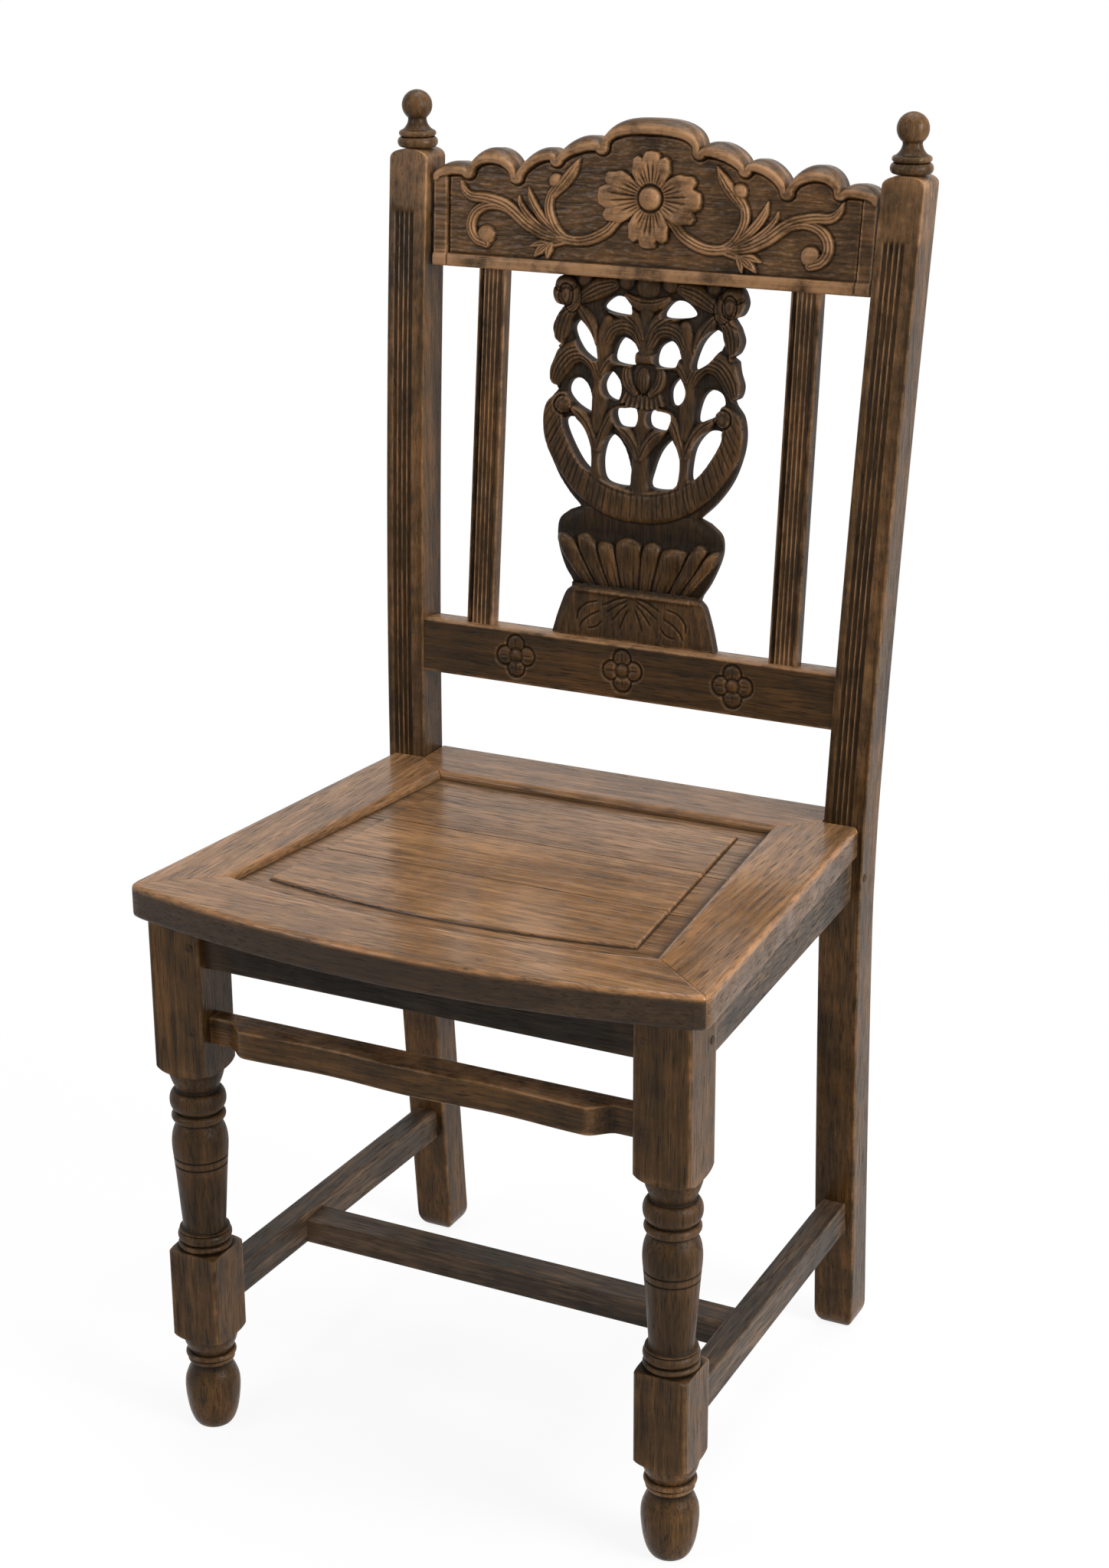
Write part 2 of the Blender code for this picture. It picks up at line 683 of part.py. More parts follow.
def make_crest(frame, posts):
    """The crest rail: scalloped and rounded over in front, its front sunk inside a rim."""
    foot = up_slope(frame, CREST_BOTTOM)
    end_x = post_inner(CREST_BOTTOM) - CLEARANCE
    rings = []
    for face, y in ((0, -CREST_THICKNESS), (1, CREST_ROUND_DEPTH - CREST_THICKNESS), (1, 0)):
        outline = mirrored([(0, foot), (end_x, foot)] + crest_top(frame, foot, face)[::-1])
        rings.append([(x, y, s) for x, s in outline])
    crest = lofted("crest_rail", rings, frame)
    strip = end_x - CREST_END_STRIP
    rim = inner_edge(crest_top(frame, foot, 0), CREST_RIM_WIDTH, strip)
    low = foot + CREST_FILLET_HEIGHT
    field = mirrored([(0, low), (strip, low), (strip, rim[-1][1])] + rim[::-1])
    sunk = CREST_THICKNESS - CREST_FIELD_SINK
    cut(crest, back_board("crest_field", field, sunk, CUT_ROOM, frame, cutter=True))
    tenon = foot + CREST_TENON_LOW
    ends = (tenon, tenon + CREST_TENON_HEIGHT, CREST_TENON_LENGTH)
    back_tenons("crest", crest, posts, frame, CREST_THICKNESS / 2, *ends)
    finish(crest, OAK_DARK, ROUGH_WAXED)
    return crest


def make_lower_rail(frame, posts):
    top = up_slope(frame, RAIL_TOP)
    low_x = post_inner(RAIL_BOTTOM) - CLEARANCE
    high_x = post_inner(RAIL_TOP) - CLEARANCE
    outline = [(-low_x, 0), (low_x, 0), (high_x, top), (-high_x, top)]
    rail = back_board("lower_back_rail", outline, 0, RAIL_THICKNESS, frame)
    ends = (RAIL_TENON_SHOULDER, top - RAIL_TENON_SHOULDER, RAIL_TENON_LENGTH)
    back_tenons("lower_rail", rail, posts, frame, RAIL_THICKNESS / 2, *ends)
    finish(rail, OAK_DARK, ROUGH_WORN)
    return rail


def stand_upright(piece, place, size, frame, rail, crest):
    """Tenons at the foot and head of a slat or splat, and their mortises in the two rails.

    place is the tenon's middle (x, distance in front of the rear plane), size its width and thickness.
    """
    low, high = up_slope(frame, RAIL_TOP), up_slope(frame, CREST_BOTTOM)
    for end, s, sign, holder in (("foot", low, -1, rail), ("head", high, 1, crest)):
        for purpose, room in (("tenon", 0), ("mortise", CLEARANCE)):
            ss = sorted((s - sign * TENON_OVERLAP, s + sign * (UPRIGHT_TENON + room)))
            across, deep = size[0] / 2 + room, size[1] / 2 + room
            near = (place[0] - across, -place[1] - deep, ss[0])
            far = (place[0] + across, -place[1] + deep, ss[1])
            shape = box(f"{piece.name}_{end}_{purpose}", near, far, frame, cutter=True)
            if purpose == "tenon":
                join(piece, shape)
            else:
                cut(holder, shape)


def make_slat(name, side, frame, rail, crest):
    low = up_slope(frame, RAIL_TOP) + CLEARANCE
    high = up_slope(frame, CREST_BOTTOM) - CLEARANCE
    centre = side * SLAT_SPACING / 2
    half = SLAT_WIDTH / 2
    outline = [(centre - half, low), (centre + half, low), (centre + half, high), (centre - half, high)]
    slat = back_board(name, outline, SLAT_FROM_REAR, SLAT_THICKNESS, frame)
    size = (SLAT_WIDTH - 2 * SLAT_TENON_SHOULDER, SLAT_TENON_THICKNESS)
    stand_upright(slat, (centre, SLAT_FROM_REAR + SLAT_THICKNESS / 2), size, frame, rail, crest)
    finish(slat, OAK_DARK, ROUGH_WORN)


def make_splat(frame, rail, crest):
    low = up_slope(frame, RAIL_TOP) + CLEARANCE
    high = up_slope(frame, CREST_BOTTOM) - CLEARANCE
    scale = SPLAT_WIDTH / 2, high - low

    def placed(points):
        return [(u * scale[0], low + v * scale[1]) for u, v in points]

    edge = placed(SPLAT_EDGE)
    outline = edge + [(-x, s) for x, s in reversed(edge)]
    splat = back_board("splat", outline, 0, SPLAT_THICKNESS, frame)
    for number, gap in enumerate(SPLAT_GAPS):
        curve = placed(smoothed(gap, SPLAT_GAP_STEPS))
        for side in (-1, 1):
            points = [(side * x, s) for x, s in curve]
            gap_name = f"splat_gap_{number}_{side}"
            cut(splat, back_board(gap_name, points, -CUT_ROOM / 2, CUT_ROOM, frame, cutter=True))
    size = (SPLAT_TENON_WIDTH, BACK_TENON_THICKNESS)
    stand_upright(splat, (0, SPLAT_THICKNESS / 2), size, frame, rail, crest)
    finish(splat, OAK_DARK, ROUGH_WAXED)


# Seat

SEAT_CORNER_Y = back(SEAT_FRONT_BOW)
NOTCH_Y = post_front(SEAT_BOTTOM) - CLEARANCE
NOTCH_X = post_inner(SEAT_BOTTOM) - CLEARANCE
SEAT_BACK_Y = post_front(SEAT_HEIGHT) + POST_DEPTH + SEAT_BEHIND_POSTS
OPENING_FRONT_Y = SEAT_CORNER_Y + FRAME_FRONT_WIDTH
OPENING_BACK_Y = SEAT_BACK_Y - FRAME_BACK_WIDTH
OPENING_FRONT_HALF = SEAT_FRONT_HALF_WIDTH - FRAME_SIDE_WIDTH_FRONT
OPENING_BACK_HALF = SEAT_BACK_HALF_WIDTH - FRAME_SIDE_WIDTH_BACK
PANEL_TOP = SEAT_HEIGHT - PANEL_SINK
PANEL_BOTTOM = PANEL_TOP - PANEL_THICKNESS


def seat_half_width(y):
    share = (y - SEAT_CORNER_Y) / (NOTCH_Y - SEAT_CORNER_Y)
    return SEAT_FRONT_HALF_WIDTH + (SEAT_BACK_HALF_WIDTH - SEAT_FRONT_HALF_WIDTH) * share


def seat_outline():
    """The seat in plan: a bowed front, rounded front corners, straight sides and notches for the posts."""
    turn_x = SEAT_FRONT_HALF_WIDTH - SEAT_CORNER_RADIUS
    half = []
    for i in range(CURVE_STEPS + 1):
        x = turn_x * i / CURVE_STEPS
        half.append((x, back(SEAT_FRONT_BOW * (x / SEAT_FRONT_HALF_WIDTH) ** 2)))
    start = Vector(half[-1])
    corner = Vector((SEAT_FRONT_HALF_WIDTH, SEAT_CORNER_Y))
    end_y = SEAT_CORNER_Y + SEAT_CORNER_RADIUS
    end = Vector((seat_half_width(end_y), end_y))
    for i in range(1, CORNER_STEPS + 1):
        u = i / CORNER_STEPS
        half.append(tuple(start * (1 - u) ** 2 + corner * 2 * u * (1 - u) + end * u**2))
    half += [(SEAT_BACK_HALF_WIDTH, NOTCH_Y), (NOTCH_X, NOTCH_Y), (NOTCH_X, SEAT_BACK_Y)]
    return half + [(-x, y) for x, y in reversed(half) if x > TINY]


def opening_front(x, inset):
    return OPENING_FRONT_Y + inset - OPENING_BOW * (1 - (x / OPENING_FRONT_HALF) ** 2)


def opening_half(y, inset):
    share = (y - OPENING_FRONT_Y) / (OPENING_BACK_Y - OPENING_FRONT_Y)
    return OPENING_FRONT_HALF + (OPENING_BACK_HALF - OPENING_FRONT_HALF) * share - inset


def opening_outline(inset):
    """The panel opening in plan, drawn in by inset from the top edge of the moulding."""
    corner_x = OPENING_FRONT_HALF - inset
    for _ in range(CORNER_STEPS):
        corner_x = opening_half(opening_front(corner_x, inset), inset)
    back_y = OPENING_BACK_Y - inset
    xs = [corner_x * i / CURVE_STEPS for i in range(CURVE_STEPS + 1)]
    half = [(x, opening_front(x, inset)) for x in xs]
    half.append((opening_half(back_y, inset), back_y))
    return half + [(-x, y) for x, y in reversed(half) if x > TINY]


def frame_wedges():
    """The four parts of the plan that the mitres divide, each moved out to leave a joint."""
    front_inner = Vector((OPENING_FRONT_HALF, OPENING_FRONT_Y))
    front_outer = Vector((SEAT_FRONT_HALF_WIDTH, SEAT_CORNER_Y))
    back_inner = Vector((OPENING_BACK_HALF, OPENING_BACK_Y))
    notch = Vector((NOTCH_X, NOTCH_Y))
    front_far = front_outer + (front_outer - front_inner)
    step_in = front_inner - (front_outer - front_inner) / 2
    back_in = back_inner - (notch - back_inner) / 2
    gap = CLEARANCE * MITRE_GAP
    flip = Vector((-1, 1))
    front = [step_in, front_far, front_far * flip, step_in * flip]
    rear = [back_in, notch, (FAR, NOTCH_Y), (FAR, FAR), (-FAR, FAR)]
    rear += [(-FAR, NOTCH_Y), notch * flip, back_in * flip]
    right = [step_in, front_far, (front_far.x, NOTCH_Y + gap), notch, back_in]
    moved = {
        "front": ([tuple(p) for p in front], (0, -gap)),
        "back": ([tuple(p) for p in rear], (0, gap)),
        "right": ([tuple(p) for p in right], (gap, 0)),
        "left": ([(-x, y) for x, y in (tuple(p) for p in right)], (-gap, 0)),
    }
    return {name: [(x + dx, y + dy) for x, y in points] for name, (points, (dx, dy)) in moved.items()}


def make_seat_frame():
    ends = (SEAT_BOTTOM - CUT_ROOM, SEAT_HEIGHT + CUT_ROOM)
    opening = plan_prism("opening", opening_outline(MOULDING_RUN), *ends, cutter=True)
    lift = MOULDING_OVERCUT * MOULDING_DROP / MOULDING_RUN
    low = opening_outline(MOULDING_RUN + MOULDING_OVERCUT)
    high = opening_outline(-MOULDING_OVERCUT)
    rings = [
        [(x, y, SEAT_HEIGHT - MOULDING_DROP - lift) for x, y in low],
        [(x, y, SEAT_HEIGHT + lift) for x, y in high],
    ]
    moulding = lofted("moulding", rings, cutter=True)
    groove_room = opening_outline(MOULDING_RUN - PANEL_TONGUE - CLEARANCE)
    groove = plan_prism("groove", groove_room, PANEL_BOTTOM - CLEARANCE, PANEL_TOP + CLEARANCE, cutter=True)
    boards = {}
    for name, wedge in frame_wedges().items():
        board = plan_prism(f"seat_frame_{name}", seat_outline(), SEAT_BOTTOM, SEAT_HEIGHT)
        keep(board, plan_prism(f"wedge_{name}", wedge, *ends, cutter=True))
        for cutter in (opening, moulding, groove):
            cut(board, cutter)
        finish(board, OAK_SEAT, ROUGH_WAXED)
        boards[name] = board
    return boards


def make_mitre_key(name, side, inner, outer, length, boards):
    """A loose tongue lying across one mitre of the seat frame, below the panel groove."""
    inner, outer = Vector(inner), Vector(outer)
    along = (outer - inner).normalized()
    across = Vector((-along.y, along.x))
    middle = (inner + outer) / 2
    height = (SEAT_BOTTOM + PANEL_BOTTOM) / 2
    for purpose, room in (("slot", CLEARANCE), ("key", 0)):
        a, b = length / 2 + room, KEY_REACH + room
        outline = []
        for u, v in ((-a, -b), (a, -b), (a, b), (-a, b)):
            point = middle + along * u + across * v
            outline.append((side * point.x, point.y))
        half = KEY_THICKNESS / 2 + room
        is_slot = purpose == "slot"
        shape = plan_prism(name + "_slot" * is_slot, outline, height - half, height + half, cutter=is_slot)
        if is_slot:
            for board in boards:
                cut(board, shape)
        else:
            finish(shape, OAK_PALE, ROUGH_WORN)


def make_mitre_keys(boards):
    front_inner = (OPENING_FRONT_HALF, OPENING_FRONT_Y)
    front_outer = (SEAT_FRONT_HALF_WIDTH, SEAT_CORNER_Y)
    back_inner = (OPENING_BACK_HALF, OPENING_BACK_Y)
    for label, side in (("left", -1), ("right", 1)):
        pair = (boards["front"], boards[label])
        name = f"seat_mitre_key_front_{label}"
        make_mitre_key(name, side, front_inner, front_outer, KEY_LENGTH_FRONT, pair)
        pair = (boards["back"], boards[label])
        notch = (NOTCH_X, NOTCH_Y)
        make_mitre_key(f"seat_mitre_key_back_{label}", side, back_inner, notch, KEY_LENGTH_BACK, pair)


def make_seat_panel():
    """Three boards with a raised field, their edges in the frame's groove."""
    tongue = opening_outline(MOULDING_RUN - PANEL_TONGUE + CLEARANCE)
    field = opening_outline(MOULDING_RUN + PANEL_BORDER)
    front_y = min(y for _, y in tongue)
    back_y = max(y for _, y in tongue)
    first = OPENING_FRONT_Y + PANEL_FRONT_BOARD
    second = OPENING_BACK_Y - PANEL_BACK_BOARD
    gap = CLEARANCE / 2
    spans = {
        "front": (front_y - CUT_ROOM, first - gap),
        "middle": (first + gap, second - gap),
        "back": (second + gap, back_y + CUT_ROOM),
    }
    for name, (near, far) in spans.items():
        board = plan_prism(f"seat_panel_{name}", tongue, PANEL_BOTTOM, PANEL_TOP)
        levels = (PANEL_TOP - FIELD_RISE, PANEL_TOP + FIELD_RISE)
        join(board, plan_prism(f"field_{name}", field, *levels, cutter=True))
        keep(board, box(f"strip_{name}", (-FAR, near, 0), (FAR, far, FAR), cutter=True))
        finish(board, OAK_SEAT, ROUGH_WAXED)


# Front legs


def leg_shoulder(start, height):
    """A rounded shoulder from the full round at start to wider than the square wood."""
    full = LEG_SIZE / 2 - TURNING_RELIEF
    corner = LEG_SIZE / math.sqrt(2) + TURNING_RELIEF
    points = []
    for i in range(SHOULDER_STEPS + 1):
        turn = math.pi / 2 * i / SHOULDER_STEPS
        points.append((start + height * (1 - math.cos(turn)), full + (corner - full) * math.sin(turn)))
    return points


def leg_profile():
    """The turner's profile from the floor up. In the square blocks it is wider than the wood."""
    full = LEG_SIZE / 2 - TURNING_RELIEF
    lower_ring = LEG_FOOT_HEIGHT + LEG_SHOULDER + LEG_LOWER_BLOCK + LEG_SHOULDER_SHORT
    upper_ring = LEG_TOP - LEG_UPPER_BLOCK - LEG_SHOULDER
    profile = [(LEG_FOOT_HEIGHT * share, full - depth) for share, depth in LEG_FOOT_TURNING]
    profile += leg_shoulder(LEG_FOOT_HEIGHT, LEG_SHOULDER)
    profile += reversed(leg_shoulder(lower_ring, -LEG_SHOULDER_SHORT))
    for start, end, side, crown in LEG_LOWER_RINGS:
        profile += bead(lower_ring + start, lower_ring + end, full - side, full - crown)
    waist = lower_ring + LEG_WAIST_RISE
    swell = upper_ring - LEG_SWELL_DROP
    neck = upper_ring - LEG_NECK_DROP
    for i in range(TAPER_STEPS + 1):
        share = i / TAPER_STEPS
        depth = LEG_WAIST_CUT * (1 - share) ** LEG_TAPER_CURVE
        profile.append((waist + (swell - waist) * share, full - depth))
    for i in range(1, NECK_STEPS + 1):
        share = i / NECK_STEPS
        depth = LEG_NECK_CUT * (1 - math.cos(share * math.pi / 2))
        profile.append((swell + (neck - swell) * share, full - depth))
    for start, end, side, crown in LEG_UPPER_RINGS:
        profile += bead(upper_ring - start, upper_ring - end, full - side, full - crown)
    profile += [(upper_ring - drop, full - depth) for drop, depth in LEG_COLLAR]
    profile += leg_shoulder(upper_ring, LEG_SHOULDER)
    profile.append((LEG_TOP, profile[-1][1]))
    return profile


def make_leg(name, side):
    centre = (side * LEG_HALF_SPREAD, LEG_MIDDLE, 0)
    leg = turned(name, leg_profile(), LEG_SIDES, centre)
    neck = LEG_FOOT_HEIGHT * LEG_FOOT_NECK
    waist = LEG_FOOT_HEIGHT + LEG_SHOULDER + LEG_LOWER_BLOCK + LEG_SHOULDER_SHORT + LEG_WAIST_RISE
    levels = ((-CUT_ROOM, LEG_SIZE), (neck, LEG_SIZE), (neck, LEG_LOWER_BLOCK_SIZE))
    levels += ((waist, LEG_LOWER_BLOCK_SIZE), (waist, LEG_SIZE), (LEG_TOP + CUT_ROOM, LEG_SIZE))
    rings = []
    for z, size in levels:
        corners = ((-size, -size), (size, -size), (size, size), (-size, size))
        rings.append([(centre[0] + x / 2, centre[1] + y / 2, z) for x, y in corners])
    keep(leg, lofted(name + "_blank", rings, cutter=True))
    finish(leg, OAK_DARK, ROUGH_WORN)
    return leg


# Rails under the seat and stretchers


def leg_inner_face(side):
    return Face((side * LEG_INNER, LEG_MIDDLE, 0), (-side, 0, 0))


def leg_back_face(size):
    return Face((0, LEG_MIDDLE + size / 2, 0), (0, 1, 0))


def post_inner_face(side, z):
    slope = POST_SPLAY_ABOVE if z > SEAT_HEIGHT else POST_SPLAY_BELOW
    return Face((side * post_inner(z), 0, z), (-side, 0, slope))


def post_front_face(low, high):
    """The front of a post between two heights, where a rail meets it."""
    slope = (post_front(high) - post_front(low)) / (high - low)
    return Face((0, post_front(low), low), (0, -1, slope))


def make_aprons(legs, posts):
    height = APRON_HEIGHT - CLEARANCE
    middle = APRON_BOTTOM + height / 2
    size = (APRON_THICKNESS, height)
    form = (APRON_TENON_THICKNESS, APRON_TENON_SHOULDER)
    front_y = LEG_FRONT + APRON_FRONT_RECESS + APRON_THICKNESS / 2
    line = Line((-FAR, front_y, middle), (FAR, front_y, middle))
    ends = [(legs[side], leg_inner_face(side), APRON_TENON_LENGTH) for side in (-1, 1)]
    aprons = {"front": tenoned_rail("apron_front", line, *size, ends, *form)}
    back_y = post_front(middle) + POST_DEPTH - APRON_BACK_INSET - APRON_THICKNESS / 2
    line = Line((-FAR, back_y, middle), (FAR, back_y, middle))
    ends = [(posts[side], post_inner_face(side, middle), APRON_TENON_LENGTH) for side in (-1, 1)]
    aprons["back"] = tenoned_rail("apron_back", line, *size, ends, *form)
    for label, side in (("left", -1), ("right", 1)):
        near = (side * side_apron_x(LEG_BACK), LEG_BACK, middle)
        far_y = post_front(middle)
        far = (side * side_apron_x(far_y), far_y, middle)
        ends = [
            (legs[side], leg_back_face(LEG_SIZE), APRON_SIDE_TENON_FRONT),
            (posts[side], post_front_face(APRON_BOTTOM, SEAT_BOTTOM), APRON_SIDE_TENON_BACK),
        ]
        aprons[label] = tenoned_rail(f"apron_{label}", Line(near, far), *size, ends, *form)
    for apron in aprons.values():
        finish(apron, OAK_PALE, ROUGH_WORN)
    return aprons


def side_apron_x(y):
    """X of the middle of the right side apron, from the leg's outer face to under the seat's edge."""
    near = LEG_OUTER - APRON_SIDE_INSET
    far = SEAT_BACK_HALF_WIDTH - APRON_SIDE_OVERHANG_BACK
    share = (y - LEG_BACK) / (post_front(SEAT_BOTTOM) - LEG_BACK)
    return near + (far - near) * share - APRON_THICKNESS / 2


def make_glue_blocks(aprons_inner_back):
    """Blocks in the angles between the seat frame and the insides of the rails."""
    high = SEAT_BOTTOM - CLEARANCE
    low = high - GLUE_BLOCK_SIZE
    half = GLUE_BLOCK_LENGTH / 2
    middle = (LEG_BACK + post_front(SEAT_BOTTOM)) / 2
    for label, side in (("left", -1), ("right", 1)):
        for place, shift in (("front", -GLUE_BLOCK_SPACING / 2), ("rear", GLUE_BLOCK_SPACING / 2)):
            outline = []
            for y, inward in ((-half, 0), (half, 0), (half, 1), (-half, 1)):
                at = middle + shift + y
                x = side_apron_x(at) - APRON_THICKNESS / 2 - GLUE_BLOCK_GAP - inward * GLUE_BLOCK_SIZE
                outline.append((side * x, at))
            finish(plan_prism(f"seat_glue_block_{label}_{place}", outline, low, high), OAK_PALE, ROUGH_WORN)
    face = aprons_inner_back - CLEARANCE
    block = box("seat_glue_block_back", (-half, face - GLUE_BLOCK_SIZE, low), (half, face, high))
    finish(block, OAK_PALE, ROUGH_WORN)


def make_front_stretcher(legs):
    """The high front stretcher: set back at its ends, bellied forward with a lobe near each end."""
    end_x = LEG_INNER - CLEARANCE
    rear = LEG_FRONT + FRONT_STRETCHER_BACK
    front = rear - FRONT_STRETCHER_END_DEPTH
    belly = front - FRONT_STRETCHER_BELLY
    lobe_x = end_x - FRONT_STRETCHER_LOBE
    half = [(0, belly)]
    for i in range(1, HOLLOW_STEPS + 1):
        u = i / HOLLOW_STEPS
        hollow = FRONT_STRETCHER_HOLLOW * (1 - math.cos(2 * math.pi * u)) / 2
        half.append((lobe_x * u, belly + hollow))
    turn_x = end_x - FRONT_STRETCHER_END_LENGTH
    for i in range(1, LOBE_STEPS + 1):
        u = i / LOBE_STEPS
        drop = (front - belly) * (1 - math.cos(math.pi * u)) / 2
        half.append((lobe_x + (turn_x - lobe_x) * u, belly + drop))
    half += [(end_x, front), (end_x, rear)]
    outline = half + [(-x, y) for x, y in reversed(half) if x > TINY]
    low = FRONT_STRETCHER_TOP - FRONT_STRETCHER_HEIGHT
    stretcher = plan_prism("front_stretcher", outline, low, FRONT_STRETCHER_TOP)
    y = (front + rear) / 2
    half_t = APRON_TENON_THICKNESS / 2
    for side, leg in legs.items():
        for purpose, room in (("tenon", 0), ("mortise", CLEARANCE)):
            xs = sorted((side * (end_x - TENON_OVERLAP), side * (LEG_INNER + APRON_TENON_LENGTH + room)))
            shoulder = STRETCHER_TENON_SHOULDER - room
            near = (xs[0], y - half_t - room, low + shoulder)
            far = (xs[1], y + half_t + room, FRONT_STRETCHER_TOP - shoulder)
            shape = box(f"front_stretcher_{purpose}_{side}", near, far, cutter=True)
            if purpose == "tenon":
                join(stretcher, shape)
            else:
                cut(leg, shape)
    finish(stretcher, OAK_DARK, ROUGH_WAXED)
    return stretcher


def make_lower_stretchers(legs, posts):
    middle = SIDE_STRETCHER_TOP - SIDE_STRETCHER_HEIGHT / 2
    low = SIDE_STRETCHER_TOP - SIDE_STRETCHER_HEIGHT
    form = (STRETCHER_TENON_THICKNESS, STRETCHER_TENON_SHOULDER)
    sides, lines = {}, {}
    for label, side in (("left", -1), ("right", 1)):
        far_y = post_front(middle)
        far = (side * post_centre(middle), far_y, middle)
        lines[side] = Line((side * LEG_HALF_SPREAD, LEG_BACK, middle), far)
        ends = [
            (legs[side], leg_back_face(LEG_LOWER_BLOCK_SIZE), STRETCHER_TENON_LENGTH),
            (posts[side], post_front_face(low, SIDE_STRETCHER_TOP), STRETCHER_TENON_LENGTH),
        ]
        size = (SIDE_STRETCHER_WIDTH, SIDE_STRETCHER_HEIGHT)
        sides[side] = tenoned_rail(f"side_stretcher_{label}", lines[side], *size, ends, *form)
    y = back(CROSS_STRETCHER_BACK)
    top = SIDE_STRETCHER_TOP - CROSS_STRETCHER_DROP
    z = top - CROSS_STRETCHER_HEIGHT / 2
    ends = []
    for side in (-1, 1):
        line = lines[side]
        inwards = line.across if line.across.x * side < 0 else -line.across
        face = Face(line.start + inwards * (SIDE_STRETCHER_WIDTH / 2), inwards)
        ends.append((sides[side], face, CROSS_TENON_LENGTH))
    size = (CROSS_STRETCHER_WIDTH, CROSS_STRETCHER_HEIGHT)
    cross = tenoned_rail("cross_stretcher", Line((-FAR, y, z), (FAR, y, z)), *size, ends, *form)
    for piece in (*sides.values(), cross):
        finish(piece, OAK_PALE, ROUGH_WORN)


# Pegs


def make_pegs(legs, posts, aprons, stretcher, rail, crest, frame):
    apron_z = APRON_BOTTOM + APRON_HEIGHT / 2
    stretcher_z = FRONT_STRETCHER_TOP - FRONT_STRETCHER_HEIGHT / 2
    for label, side in (("left", -1), ("right", 1)):
        leg, post = legs[side], posts[side]
        x = side * (LEG_INNER + PEG_FROM_SHOULDER)
        start = (x, LEG_FRONT, apron_z)
        peg(f"peg_front_apron_{label}", start, (0, 1, 0), PEG_LONG, (leg, aprons["front"]))
        start = (x, LEG_FRONT, stretcher_z)
        peg(f"peg_front_stretcher_{label}", start, (0, 1, 0), PEG_LONG, (leg, stretcher))
        y = LEG_BACK - PEG_FROM_SHOULDER
        start = (side * LEG_OUTER, y, apron_z - PEG_SIDE_DROP)
        peg(f"peg_side_apron_front_{label}", start, (-side, 0, 0), PEG_MIDDLE, (leg, aprons[label]))
        y = post_front(apron_z) + PEG_FROM_SHOULDER
        start = (side * post_outer(apron_z), y, apron_z)
        peg(f"peg_side_apron_rear_{label}", start, (-side, 0, 0), PEG_MIDDLE, (post, aprons[label]))
        back_y = post_front(apron_z) + POST_DEPTH
        start = (side * (post_inner(apron_z) + PEG_FROM_SHOULDER), back_y, apron_z)
        peg(f"peg_back_apron_{label}", start, (0, -1, 0), PEG_SHORT, (post, aprons["back"]))
        foot = up_slope(frame, CREST_BOTTOM)
        heights = {
            "lower_rail": (height_at(frame, up_slope(frame, RAIL_TOP) / 2), rail),
            "crest": (height_at(frame, foot + CREST_TENON_LOW + CREST_TENON_HEIGHT / 2), crest),
        }
        for joint, (z, piece) in heights.items():
            start = (side * (post_inner(z) + PEG_FROM_SHOULDER), post_front(z) + POST_DEPTH, z)
            peg(f"peg_{joint}_{label}", start, (0, -1, 0), PEG_MIDDLE, (post, piece))


def main():
    clear_scene()
    posts = {side: make_post(f"rear_post_{label}", side) for label, side in (("left", -1), ("right", 1))}
    legs = {side: make_leg(f"front_leg_{label}", side) for label, side in (("left", -1), ("right", 1))}
    for label, side in (("left", -1), ("right", 1)):
        make_finial(f"finial_{label}", side, posts[side])
    frame = make_back_frame()
    crest = make_crest(frame, posts)
    rail = make_lower_rail(frame, posts)
    for label, side in (("left", -1), ("right", 1)):
        make_slat(f"back_slat_{label}", side, frame, rail, crest)
    make_splat(frame, rail, crest)
    make_mitre_keys(make_seat_frame())
    make_seat_panel()
    aprons = make_aprons(legs, posts)
    apron_middle = APRON_BOTTOM + APRON_HEIGHT / 2
    back_face = post_front(apron_middle) + POST_DEPTH - APRON_BACK_INSET - APRON_THICKNESS
    make_glue_blocks(back_face)
    stretcher = make_front_stretcher(legs)
    make_lower_stretchers(legs, posts)
    make_pegs(legs, posts, aprons, stretcher, rail, crest, frame)


main()
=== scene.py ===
# %% [markdown]
# # A carved oak side chair
# The CAD part gives every piece its size and its place. This lesson dresses it: each board is remodelled with the
# softened edges, reeds, turnings and carving that the real chair shows, and finished as old waxed oak. Every piece
# is modelled where it stands, in metres, so nothing has to be moved at the end.

# %% Load the fixed frame
import math
from contextlib import contextmanager

import bpy
import numpy as np
from mathutils import Matrix, Vector, geometry, kdtree, noise


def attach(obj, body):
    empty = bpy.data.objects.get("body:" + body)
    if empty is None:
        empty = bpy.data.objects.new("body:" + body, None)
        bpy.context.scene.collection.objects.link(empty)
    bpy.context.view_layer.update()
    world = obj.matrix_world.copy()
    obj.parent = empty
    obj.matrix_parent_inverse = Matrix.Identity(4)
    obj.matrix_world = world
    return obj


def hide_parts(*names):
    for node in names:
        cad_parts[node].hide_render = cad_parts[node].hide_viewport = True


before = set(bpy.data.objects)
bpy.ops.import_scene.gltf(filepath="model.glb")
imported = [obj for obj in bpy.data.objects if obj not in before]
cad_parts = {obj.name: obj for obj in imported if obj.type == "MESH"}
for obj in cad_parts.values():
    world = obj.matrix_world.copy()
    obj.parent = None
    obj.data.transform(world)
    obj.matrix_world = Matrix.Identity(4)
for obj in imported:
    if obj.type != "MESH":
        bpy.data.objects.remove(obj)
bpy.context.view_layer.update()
scene = bpy.context.scene

# %% [markdown]
# ## Camera
# The camera stands in front of the chair, to the sitter's left and above the seat. A camera's columns are its right,
# its up and its backward direction, so a matrix of those three and its place says everything, with no tracking.

